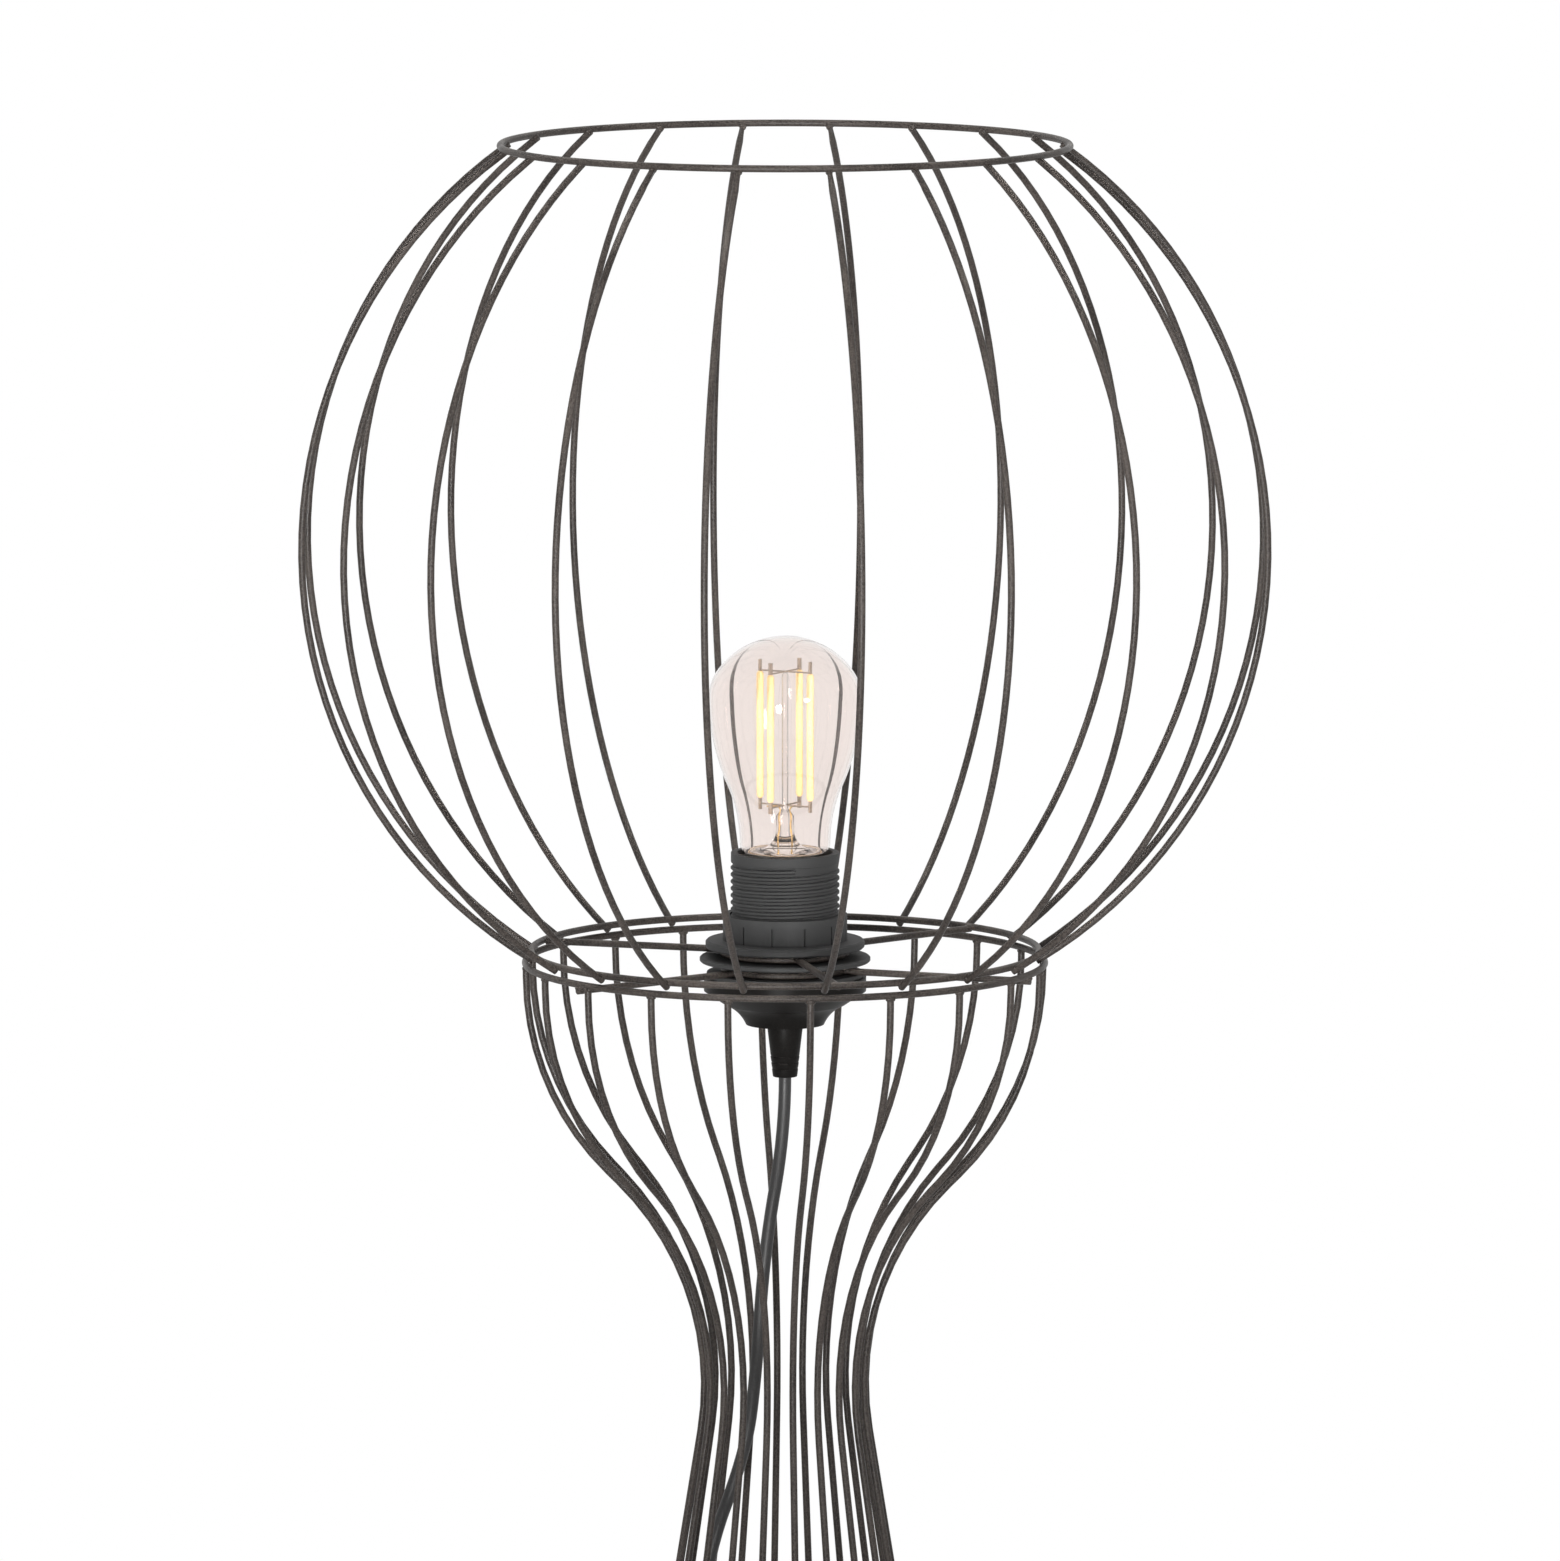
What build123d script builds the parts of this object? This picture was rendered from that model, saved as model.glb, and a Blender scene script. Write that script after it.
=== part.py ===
from build123d import *
import os
from math import atan2, ceil, cos, degrees, pi, radians, sin, sqrt, tan

# A wire cage floor lamp. Millimetres, +Z up. The floor is z = 0 and the lamp's axis is the Z axis.
# The front is towards -Y. An azimuth is counted in degrees from the front, and grows towards +X.
# From the top: an open globe shade of bent wires, a threaded lampholder with its bulb, clamped by two
# ring nuts through a three-spoked wire spider in the shade and another in the base, and a base of
# longer wires that narrows to a waist and flares to a hoop on the floor.
# The cord drops inside the base, crosses the floor hoop, and goes by a foot switch and a coil to a plug.

# --- Cage wire -----------------------------------------------------------------------------------
wire_d = 2.5
rib_count = 20
weld_melt = 1.0  # how deep two crossed wires are melted together
butt_gap = 0.6  # a butted wire stops this far short of the other wire's centre line
rib_tip = 0.8  # a crossed wire runs on this far past the other wire's centre line

# --- Shade ---------------------------------------------------------------------------------------
overall_height = 1350.0
globe_r = 173.1  # centre line of the ribs
top_hoop_r = 101.0
neck_hoop_r = 90.7
shade_rib_azimuth = 8.75
shade_spoke_azimuth = 12.0
shade_spoke_drop = 0.5  # the spokes lie a little under the hoop's centre line

# --- Base ----------------------------------------------------------------------------------------
base_hoop_step = 2.05  # the base's top hoop is this much wider than the shade's neck hoop
floor_hoop_step = 0.65  # and its floor hoop than the globe, each counted on the radius
base_rib_azimuth = 5.5
base_spoke_azimuth = 68.5
base_spoke_melt = 0.3
spider_spacing = 5.8  # from the shade's spider down to the base's
shoulder_drop = 45.5  # from the base's top hoop down to where its ribs would have a sharp shoulder
shoulder_lead = 4.05  # straight wire from the top hoop's centre line to the shoulder's bend
waist_corner_r = 21.8
waist_corner_drop = 116.4
waist_lead = 5.1  # straight wire between the shoulder's bend and the waist's
hub_hoop_r = 22.0
spoke_count = 3

# --- Floor glides --------------------------------------------------------------------------------
glide_count = 4
glide_azimuth = 14.5
glide_sole = 2.0
glide_width = 5.5
glide_length = 12.0
glide_corner_r = 1.3
glide_grip = 0.5  # how far the glide's jaws reach past the middle of the wire

# --- Lampholder ----------------------------------------------------------------------------------
fit_gap = 0.3  # between pieces that move past each other
sleeve_crest_r = 19.45
thread_depth = 0.7
thread_pitch = 2.5
thread_ridge_width = 1.75
thread_crest_width = 0.6
sleeve_bore_r = 17.0
mouth_height = 36.0  # above the shade's spider
lip_height = 3.6
lip_step = 0.1
upper_nut_r = 28.4
upper_nut_flange = 3.0
upper_nut_chamfer = 0.6
upper_nut_collar_r = 22.2
upper_nut_height = 12.2
grip_slot_count = 12
grip_slot_azimuth = -11.7
grip_slot_width = 0.6
grip_slot_depth = 0.8
grip_slot_height = 6.5
lower_nut_r = 30.5
lower_nut_flange = 1.8
lower_nut_chamfer = 0.45
lower_nut_collar_r = 24.0
shoulder_r = 28.0
shoulder_thickness = 1.75
spigot_height = 4.0
spigot_wall = 2.4
cap_r = 29.0
cap_wall = 2.0
cap_band = 5.0
cap_waist_r = 21.5
cap_waist_drop = 10.0
cap_bulge_r = 13.5
cap_floor_r = 14.0
cap_height = 17.2
cap_hollow_rise = 0.8  # the hollow's corners stand this much above the outside's
grip_hole_r = 5.2

# --- Lampholder insides --------------------------------------------------------------------------
core_r = 16.7
core_flange_r = 24.0
core_flange = 3.0
core_floor_height = 7.0  # above the shade's spider
shell_wall = 0.4
shell_height = 23.0
tongue_thickness = 0.5
tongue_width = 6.0
tongue_tail = 9.0  # from the axis to the tongue's fixed end
tongue_foot = 2.0  # from the axis to the free end of the tongue's flat foot
tongue_fold = 2.0
tongue_nose = 3.5
tongue_land = 1.0
terminal_spacing = 15.0
terminal_size = (6.0, 8.0, 5.0)
terminal_bore_r = 1.2
terminal_bore_depth = 3.5
terminal_screw_r = 1.4
terminal_screw_length = 5.0
conductor_r = 0.8
conductor_x = 2.0  # from the axis, where a conductor leaves the cord grip
conductor_bend_r = 1.6

# --- Cord grip -----------------------------------------------------------------------------------
grip_top_r = 6.5
grip_end_r = 4.35
grip_length = 19.0
grip_neck_gap = 0.2
grip_flange_r = 8.0
grip_flange = 1.5

# --- Bulb ----------------------------------------------------------------------------------------
glass_wall = 0.8
bulb_foot_r = 14.2
bulb_neck_r = 16.2
bulb_r = 27.3
bulb_shoulder_r = 17.0  # the arc from the bulb's side up to its crown
bulb_neck_height = 39.0  # above the shade's spider, as the next three are
bulb_cheek_height = 60.5
bulb_equator_height = 91.3
bulb_top_height = 113.5
screw_cap_r = 13.1
screw_cap_depth = 0.8
screw_cap_pitch = 3.629
screw_cap_turns = 5
screw_cap_wall = 0.6
screw_cap_collar = 3.2
screw_cap_flare = 1.2
tip_height = 9.3  # underside of the tip contact, above the shade's spider
tip_contact_r = 4.8
tip_contact_thickness = 0.8
tip_land = 1.0  # bare insulator round the tip contact
insulator_rim = 1.0
stem_flare_r = 12.6
stem_flare_height = 7.0
stem_foot = 1.2
stem_r = 3.2
stem_height = 15.0
stem_rod_r = 1.1
filament_count = 4
filament_ring_r = 10.3
filament_azimuth = 60.0
filament_r = 0.95
filament_height = 55.0  # above the shade's spider
filament_length = 45.5
filament_tab_size = (0.7, 1.4, 4.2)
support_r = 0.3
driver_size = (14.0, 1.6, 12.0)

# --- Cord ----------------------------------------------------------------------------------------
cord_d = 4.5
cord_arc_share = 0.45  # of the shorter of two runs, taken by the arc between them

# --- Foot switch ---------------------------------------------------------------------------------
switch_at = (5.0, 237.0)
switch_r = 31.0
switch_wall = 2.0
switch_floor = 2.5
switch_split = 10.0
switch_height = 22.0
switch_round = 6.0
cord_axis_height = 8.5
button_hole_r = 15.0
button_gap = 0.4
button_proud = 3.5
button_edge_r = 1.7
button_flange_r = 18.0
button_flange = 2.0
button_travel = 4.0
button_stem_r = 4.0
bridge_size = (16.0, 4.0, 1.0)
contact_size = (3.0, 5.0, 2.0)
contact_gap = 0.3  # left between bridge and contacts when the button is down
spring_r = 10.0
spring_wire_r = 0.6
spring_turns = 4
spring_gap = 0.05
switch_screw_count = 3
switch_screw_azimuth = 30.0
switch_screw_ring_r = 24.5
switch_screw_r = 1.4
switch_screw_bite = 4.0
switch_screw_head_r = 2.6
switch_screw_head = 1.5
switch_boss_r = 3.2
relief_length = 14.0
relief_root_r = 4.4
relief_end_r = 3.2
relief_collar_r = 5.7
relief_collar = 1.5

# --- Coil ----------------------------------------------------------------------------------------
coil_x = 92.0
coil_inner_r = 18.1
coil_step = 5.9  # from one turn to the next beside it
coil_layer = 5.7  # from one layer to the next
coil_half_turns_in = 6
coil_half_turns_out = 5
tie_thickness = 0.8
tie_width = 8.0
tie_gap = 0.2
tie_azimuth = 215.0  # where round the coil the tie sits, in degrees from +X

# --- Plug ----------------------------------------------------------------------------------------
plug_at = (191.0, 163.0)  # where the plug's body meets its strain relief, clear of the floor hoop
plug_thickness = 13.7
plug_width = 35.0
plug_rear_width = 13.0
plug_length = 36.0
plug_front = 13.0
plug_corner_r = 2.0
plug_chamfer = 1.0
plug_relief_length = 18.0
plug_relief_root_r = 5.0
plug_relief_end_r = 3.2
pin_r = 2.0
pin_round = 1.4
pin_length = 19.0
pin_spacing = 18.6

# --- Sizes that follow ---------------------------------------------------------------------------
wire_r = wire_d / 2
cord_r = cord_d / 2
weld_offset = wire_d - weld_melt
top_hoop_z = overall_height - wire_r
globe_z = top_hoop_z - sqrt((globe_r + weld_offset) ** 2 - top_hoop_r**2)
neck_hoop_z = globe_z - sqrt((globe_r - weld_offset) ** 2 - neck_hoop_r**2)
spider_z = neck_hoop_z - shade_spoke_drop
base_spider_z = spider_z - spider_spacing
base_hoop_r = neck_hoop_r + base_hoop_step
base_hoop_z = base_spider_z + wire_d - base_spoke_melt
floor_hoop_r = globe_r + floor_hoop_step
floor_hoop_z = glide_sole + wire_r

mouth_z = spider_z + mouth_height
nut_bore_r = sleeve_crest_r + fit_gap
upper_nut_z = spider_z + wire_r + fit_gap
lower_nut_top_z = spider_z - wire_r - fit_gap
lower_nut_z = base_spider_z + wire_r + fit_gap
shoulder_z = base_spider_z - wire_r
cap_rim_z = shoulder_z - shoulder_thickness
cap_floor_z = cap_rim_z - cap_height
grip_flange_z = cap_floor_z + cap_wall
grip_end_z = cap_floor_z - grip_length
core_bottom_z = cap_rim_z - core_flange
core_floor_z = spider_z + core_floor_height
shell_r = screw_cap_r + fit_gap
tip_z = spider_z + tip_height
tip_seat_z = tip_z + tip_contact_thickness
filament_z = spider_z + filament_height
filament_top_z = filament_z + filament_length


# --- Ways of making that repeat ------------------------------------------------------------------
def turn(*outline):
    """Adds a solid turned round the lamp's axis from a closed outline of (radius, height) points."""
    with BuildSketch(Plane.XZ) as section:
        with BuildLine():
            Polyline(*outline, close=True)
        make_face()
    revolve(section.sketch, axis=Axis.Z)


def raise_disc(plane, radius, height, mode=Mode.ADD):
    """Adds or cuts a round disc of this height above a plane."""
    with BuildSketch(plane) as outline:
        Circle(radius)
    extrude(outline.sketch, amount=height, mode=mode)


def bend_hoop(radius, height):
    """Adds a round hoop of cage wire whose centre line has this radius and height."""
    with BuildSketch(Plane.XZ) as section:
        with Locations((radius, height)):
            Circle(wire_r)
    revolve(section.sketch, axis=Axis.Z)


def run_round(path, radius):
    """Adds a round wire or tube of this radius along a path."""
    with BuildSketch(Plane(origin=path @ 0, z_dir=path % 0)) as section:
        Circle(radius)
    sweep(section.sketch, path=path)


def lay_spoke(hub, rim, rim_end, height):
    """Adds one spoke of a spider along +X, cut to fit its hub hoop and its rim hoop."""
    start = hub_hoop_r + butt_gap
    raise_disc(Plane(origin=(start, 0, height), z_dir=(1, 0, 0)), wire_r, rim_end - start)
    add(hub.part, mode=Mode.SUBTRACT)
    add(rim.part, mode=Mode.SUBTRACT)


# === Shade =======================================================================================
with BuildPart() as shade_top_hoop:
    bend_hoop(top_hoop_r, top_hoop_z)

with BuildPart() as shade_neck_hoop:
    bend_hoop(neck_hoop_r, neck_hoop_z)

with BuildPart() as shade_hub_hoop:
    bend_hoop(hub_hoop_r, spider_z)

# A rib is an arc of the globe. It is welded under the top hoop and outside the neck hoop.
tip_angle = degrees(rib_tip / globe_r)
rib_top_angle = degrees(atan2(top_hoop_z - globe_z, top_hoop_r)) + tip_angle
rib_foot_angle = degrees(atan2(neck_hoop_z - globe_z, neck_hoop_r)) - tip_angle
with BuildPart() as shade_rib:
    with BuildLine(Plane.XZ) as shade_rib_line:
        CenterArc((0, globe_z), globe_r, rib_top_angle, rib_foot_angle - rib_top_angle)
    run_round(shade_rib_line.line, wire_r)
    add(shade_top_hoop.part, mode=Mode.SUBTRACT)
    add(shade_neck_hoop.part, mode=Mode.SUBTRACT)

with BuildPart() as shade_ribs:
    with PolarLocations(0, rib_count, start_angle=shade_rib_azimuth - 90):
        add(shade_rib.part)

with BuildPart() as shade_spoke:
    lay_spoke(shade_hub_hoop, shade_neck_hoop, neck_hoop_r - butt_gap, spider_z)

with BuildPart() as shade_spokes:
    with PolarLocations(0, spoke_count, start_angle=shade_spoke_azimuth - 90):
        add(shade_spoke.part)

# === Base ========================================================================================
with BuildPart() as base_top_hoop:
    bend_hoop(base_hoop_r, base_hoop_z)

with BuildPart() as base_hub_hoop:
    bend_hoop(hub_hoop_r, base_spider_z)

with BuildPart() as floor_hoop:
    bend_hoop(floor_hoop_r, floor_hoop_z)

# A rib goes straight down from the top hoop, in to the waist, and straight out to the floor hoop.
# Each bend is as wide as the straight leads beside it leave room for.
shoulder_corner = (base_hoop_r, base_hoop_z - shoulder_drop)
waist_corner = (waist_corner_r, base_hoop_z - waist_corner_drop)
rib_foot = (floor_hoop_r, floor_hoop_z + butt_gap)
inward = Vector(*waist_corner) - Vector(*shoulder_corner)
outward = Vector(*rib_foot) - Vector(*waist_corner)
shoulder_turn = radians(inward.get_angle(Vector(0, -1)))
waist_turn = radians(inward.get_angle(outward))
shoulder_reach = shoulder_drop - shoulder_lead
waist_reach = inward.length - shoulder_reach - waist_lead
shoulder_bend_r = shoulder_reach / tan(shoulder_turn / 2)
waist_bend_r = waist_reach / tan(waist_turn / 2)
with BuildPart() as base_rib:
    with BuildLine(Plane.XZ) as base_rib_line:
        FilletPolyline(
            (base_hoop_r, base_hoop_z - butt_gap),
            shoulder_corner,
            waist_corner,
            rib_foot,
            radius=[shoulder_bend_r, waist_bend_r],
        )
    run_round(base_rib_line.line, wire_r)
    add(base_top_hoop.part, mode=Mode.SUBTRACT)
    add(floor_hoop.part, mode=Mode.SUBTRACT)

with BuildPart() as base_ribs:
    with PolarLocations(0, rib_count, start_angle=base_rib_azimuth - 90):
        add(base_rib.part)

with BuildPart() as base_spoke:
    lay_spoke(base_hub_hoop, base_top_hoop, base_hoop_r + rib_tip, base_spider_z)

with BuildPart() as base_spokes:
    with PolarLocations(0, spoke_count, start_angle=base_spoke_azimuth - 90):
        add(base_spoke.part)

# Glides: small moulded shoes under the floor hoop, whose jaws hold its wire.
with BuildPart() as floor_glides:
    with BuildSketch():
        with PolarLocations(floor_hoop_r, glide_count, start_angle=glide_azimuth - 90):
            RectangleRounded(glide_width, glide_length, glide_corner_r)
    extrude(amount=floor_hoop_z + glide_grip)
    add(floor_hoop.part, mode=Mode.SUBTRACT)


# === Lampholder ==================================================================================
def sleeve_thread():
    """Outline points of the sleeve's thread, from the shoulder up to the lip: one ridge a pitch."""
    root_r = sleeve_crest_r - thread_depth
    lip_z = mouth_z - lip_height
    ridges = int((lip_z - shoulder_z) / thread_pitch)
    points = [(root_r, shoulder_z)]
    for ridge in range(ridges, 0, -1):
        middle = lip_z - (ridge - 0.5) * thread_pitch
        points += [
            (root_r, middle - thread_ridge_width / 2),
            (sleeve_crest_r, middle - thread_crest_width / 2),
            (sleeve_crest_r, middle + thread_crest_width / 2),
            (root_r, middle + thread_ridge_width / 2),
        ]
    return points + [(root_r, lip_z)]


# The sleeve: a threaded tube on a shoulder, with a spigot below that centres the cap.
spigot_r = cap_r - cap_wall - fit_gap
with BuildPart() as holder_sleeve:
    turn(
        (sleeve_bore_r, mouth_z),
        (sleeve_bore_r, cap_rim_z),
        (spigot_r - spigot_wall, cap_rim_z),
        (spigot_r - spigot_wall, cap_rim_z - spigot_height),
        (spigot_r, cap_rim_z - spigot_height),
        (spigot_r, cap_rim_z),
        (shoulder_r, cap_rim_z),
        (shoulder_r, shoulder_z),
        *sleeve_thread(),
        (sleeve_crest_r - lip_step, mouth_z - lip_height),
        (sleeve_crest_r - lip_step, mouth_z),
    )

# The upper ring nut: a flange that presses on the shade's hub, and a collar with grip slots.
collar_plane = Plane.XY.offset(upper_nut_z + upper_nut_flange)
with BuildPart() as upper_ring_nut:
    raise_disc(Plane.XY.offset(upper_nut_z), upper_nut_r, upper_nut_flange)
    chamfer(upper_ring_nut.edges(), upper_nut_chamfer)
    raise_disc(collar_plane, upper_nut_collar_r, upper_nut_height - upper_nut_flange)
    with BuildSketch(collar_plane):
        with PolarLocations(upper_nut_collar_r, grip_slot_count, start_angle=grip_slot_azimuth - 90):
            Rectangle(2 * grip_slot_depth, grip_slot_width)
    extrude(amount=grip_slot_height, mode=Mode.SUBTRACT)
    raise_disc(Plane.XY.offset(upper_nut_z), nut_bore_r, upper_nut_height, Mode.SUBTRACT)

# The lower ring nut: a wide thin flange with a low collar that presses on the base's hub.
with BuildPart() as lower_ring_nut:
    raise_disc(Plane.XY.offset(lower_nut_top_z), lower_nut_r, -lower_nut_flange)
    chamfer(lower_ring_nut.edges(), lower_nut_chamfer)
    raise_disc(Plane.XY.offset(lower_nut_z), lower_nut_collar_r, lower_nut_top_z - lower_nut_z)
    raise_disc(Plane.XY.offset(lower_nut_z), nut_bore_r, lower_nut_top_z - lower_nut_z, Mode.SUBTRACT)


def cap_bell(inset, rise, mode=Mode.ADD):
    """Adds the cap's outside, or cuts its hollow: a straight band, a drawn-in waist, a rounded bottom."""
    rim = (cap_r - inset, cap_rim_z)
    band = (cap_r - inset, cap_rim_z - cap_band + rise)
    waist = (cap_waist_r - inset, cap_rim_z - cap_waist_drop + rise)
    floor = (cap_floor_r - inset, cap_floor_z + inset)
    with BuildSketch(Plane.XZ) as section:
        with BuildLine():
            Polyline((0, rim[1]), rim, band, waist)
            RadiusArc(waist, floor, -cap_bulge_r)
            Polyline(floor, (0, floor[1]), (0, rim[1]))
        make_face()
    revolve(section.sketch, axis=Axis.Z, mode=mode)


# The cap: a bell that closes the lampholder from below, with a hole for the cord grip.
with BuildPart() as holder_cap:
    cap_bell(0, 0)
    cap_bell(cap_wall, cap_hollow_rise, Mode.SUBTRACT)
    raise_disc(Plane.XY.offset(cap_floor_z), grip_hole_r, cap_wall, Mode.SUBTRACT)

# The core: the insulating block that carries the live parts, held by its flange under the shoulder.
core_cup_r = shell_r + shell_wall
core_top_z = core_floor_z + shell_height
with BuildPart() as holder_core:
    turn(
        (0, core_bottom_z),
        (core_flange_r, core_bottom_z),
        (core_flange_r, cap_rim_z),
        (core_r, cap_rim_z),
        (core_r, core_top_z),
        (core_cup_r, core_top_z),
        (core_cup_r, core_floor_z),
        (0, core_floor_z),
    )

with BuildPart() as screw_shell:
    turn(
        (shell_r, core_floor_z),
        (core_cup_r, core_floor_z),
        (core_cup_r, core_top_z),
        (shell_r, core_top_z),
    )

# The centre contact: a sprung tongue, flat on the core's floor and bent up under the bulb's tip.
tongue_top_z = tip_z - fit_gap
with BuildPart() as centre_contact:
    with BuildSketch(Plane.XZ):
        with BuildLine():
            Polyline(
                (-tongue_tail, core_floor_z),
                (tongue_foot, core_floor_z),
                (tongue_foot, core_floor_z + tongue_thickness),
                (2 * tongue_fold - tongue_tail, core_floor_z + tongue_thickness),
                (tongue_nose, tongue_top_z - tongue_thickness),
                (tongue_nose, tongue_top_z),
                (tongue_nose - tongue_land, tongue_top_z),
                (tongue_fold - tongue_tail, core_floor_z + 2 * tongue_thickness),
                (-tongue_tail, core_floor_z + tongue_thickness),
                close=True,
            )
        make_face()
    extrude(amount=tongue_width / 2, both=True)

# Terminals: two brass blocks under the core, each with a hole for a conductor and a clamp screw.
terminal_bottom_z = core_bottom_z - terminal_size[2]
terminal_xs = (-terminal_spacing / 2, terminal_spacing / 2)
screw_spots = [(x, core_bottom_z - terminal_size[2] / 2) for x in terminal_xs]
with BuildPart() as terminals:
    with Locations(*[(x, 0, terminal_bottom_z) for x in terminal_xs]):
        Box(*terminal_size, align=(Align.CENTER, Align.CENTER, Align.MIN))
    with BuildSketch(Plane.XY.offset(terminal_bottom_z)):
        with Locations(*[(x, 0) for x in terminal_xs]):
            Circle(terminal_bore_r)
    extrude(amount=terminal_bore_depth, mode=Mode.SUBTRACT)
    with BuildSketch(Plane.XZ.offset(terminal_bore_r)):
        with Locations(*screw_spots):
            Circle(terminal_screw_r)
    extrude(amount=terminal_size[1], mode=Mode.SUBTRACT)

with BuildPart() as terminal_screws:
    with BuildSketch(Plane.XZ.offset(terminal_bore_r)):
        with Locations(*screw_spots):
            Circle(terminal_screw_r)
    extrude(amount=terminal_screw_length)

# Conductors: two insulated leads from the cord grip up into the terminals.
conductor_z = grip_flange_z + grip_flange
conductor_straight = (terminal_bottom_z - conductor_z) / 4
with BuildPart() as conductors:
    for side in (-1, 1):
        with BuildLine(Plane.XZ) as conductor_line:
            FilletPolyline(
                (side * conductor_x, conductor_z),
                (side * conductor_x, conductor_z + conductor_straight),
                (side * terminal_spacing / 2, terminal_bottom_z - conductor_straight),
                (side * terminal_spacing / 2, terminal_bottom_z),
                radius=conductor_bend_r,
            )
        run_round(conductor_line.line, conductor_r)

# The cord grip: a tapered nose under the cap, with a neck through the cap's hole and a flange inside.
with BuildPart() as cord_grip:
    turn(
        (0, grip_end_z),
        (grip_end_r, grip_end_z),
        (grip_top_r, cap_floor_z),
        (grip_hole_r - grip_neck_gap, cap_floor_z),
        (grip_hole_r - grip_neck_gap, grip_flange_z),
        (grip_flange_r, grip_flange_z),
        (grip_flange_r, conductor_z),
        (0, conductor_z),
    )


# === Bulb ========================================================================================
def draw_glass(inset):
    """Draws the bulb's glass from foot to crown at this inset from its outside. Gives its two ends."""
    foot = (bulb_foot_r - inset, mouth_z)
    neck = (bulb_neck_r - inset, spider_z + bulb_neck_height)
    equator = (bulb_r - inset, spider_z + bulb_equator_height)
    share = (bulb_cheek_height - bulb_neck_height) / (bulb_equator_height - bulb_neck_height)
    cheek = (neck[0] + share * (equator[0] - neck[0]), spider_z + bulb_cheek_height)
    top = (0, spider_z + bulb_top_height - inset)
    rise = top[1] - equator[1]
    shoulder_arc_r = bulb_shoulder_r - inset
    shoulder_x = equator[0] - shoulder_arc_r
    crown_arc_r = (shoulder_x**2 + rise**2 - shoulder_arc_r**2) / (2 * (rise - shoulder_arc_r))
    reach = crown_arc_r / (crown_arc_r - shoulder_arc_r)
    meeting = (shoulder_x * reach, top[1] - crown_arc_r + (crown_arc_r - rise) * reach)
    TangentArc(neck, foot, tangent=(0, -1))
    TangentArc(neck, cheek, tangent=(0, 1))
    TangentArc(equator, cheek, tangent=(0, -1))
    TangentArc(equator, meeting, tangent=(0, 1))
    TangentArc(top, meeting, tangent=(1, 0))
    return foot, top


with BuildPart() as bulb_glass:
    with BuildSketch(Plane.XZ):
        with BuildLine():
            outer_foot, outer_crown = draw_glass(0)
            inner_foot, inner_crown = draw_glass(glass_wall)
            Line(outer_foot, inner_foot)
            Line(outer_crown, inner_crown)
        make_face()
    revolve(axis=Axis.Z)

# The bulb's screw cap: a thin shell rolled into a round thread, flared to a collar under the glass.
cap_root_r = screw_cap_r - screw_cap_depth
cap_inner_r = cap_root_r - screw_cap_wall
cap_thread_top_z = mouth_z - screw_cap_collar
cap_thread_z = cap_thread_top_z - screw_cap_turns * screw_cap_pitch
with BuildPart() as bulb_cap:
    with BuildSketch(Plane.XZ):
        with BuildLine():
            Polyline(
                (cap_root_r, cap_thread_z),
                (cap_inner_r, cap_thread_z),
                (cap_inner_r, mouth_z),
                (bulb_foot_r, mouth_z),
                (bulb_foot_r, mouth_z - screw_cap_flare),
                (cap_root_r, cap_thread_top_z),
            )
            for ridge in range(screw_cap_turns):
                ridge_z = cap_thread_z + ridge * screw_cap_pitch
                ThreePointArc(
                    (cap_root_r, ridge_z),
                    (screw_cap_r, ridge_z + screw_cap_pitch / 2),
                    (cap_root_r, ridge_z + screw_cap_pitch),
                )
        make_face()
    revolve(axis=Axis.Z)

# The bulb's tip: a dark glass insulator under the screw cap, with the tip contact in its middle.
insulator_top_z = cap_thread_z - fit_gap
with BuildPart() as bulb_cap_insulator:
    turn(
        (0, tip_seat_z),
        (tip_contact_r + tip_land, tip_seat_z),
        (cap_root_r, insulator_top_z - insulator_rim),
        (cap_root_r, insulator_top_z),
        (0, insulator_top_z),
    )

with BuildPart() as bulb_tip_contact:
    turn(
        (0, tip_z),
        (tip_contact_r - tip_contact_thickness, tip_z),
        (tip_contact_r, tip_seat_z),
        (0, tip_seat_z),
    )

# The bulb's stem: a flared glass foot in the neck, with a thin rod that holds the filaments.
stem_top_z = mouth_z + stem_height
with BuildPart() as bulb_stem:
    turn(
        (0, mouth_z),
        (stem_flare_r, mouth_z),
        (stem_flare_r, mouth_z + stem_foot),
        (stem_r, mouth_z + stem_flare_height),
        (stem_r, stem_top_z),
        (stem_rod_r, stem_top_z + stem_rod_r),
        (stem_rod_r, filament_top_z),
        (0, filament_top_z),
    )

with BuildPart() as bulb_filaments:
    with BuildSketch(Plane.XY.offset(filament_z)):
        with PolarLocations(filament_ring_r, filament_count, start_angle=filament_azimuth - 90):
            Circle(filament_r)
    extrude(amount=filament_length)

# Tabs: a thin metal strip on each end of each filament.
tab_width, tab_breadth, tab_length = filament_tab_size
with BuildPart() as filament_tabs:
    for tab_z in (filament_z - tab_length, filament_top_z):
        with BuildSketch(Plane.XY.offset(tab_z)):
            with PolarLocations(filament_ring_r, filament_count, start_angle=filament_azimuth - 90):
                Rectangle(tab_width, tab_breadth)
        extrude(amount=tab_length)

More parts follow.
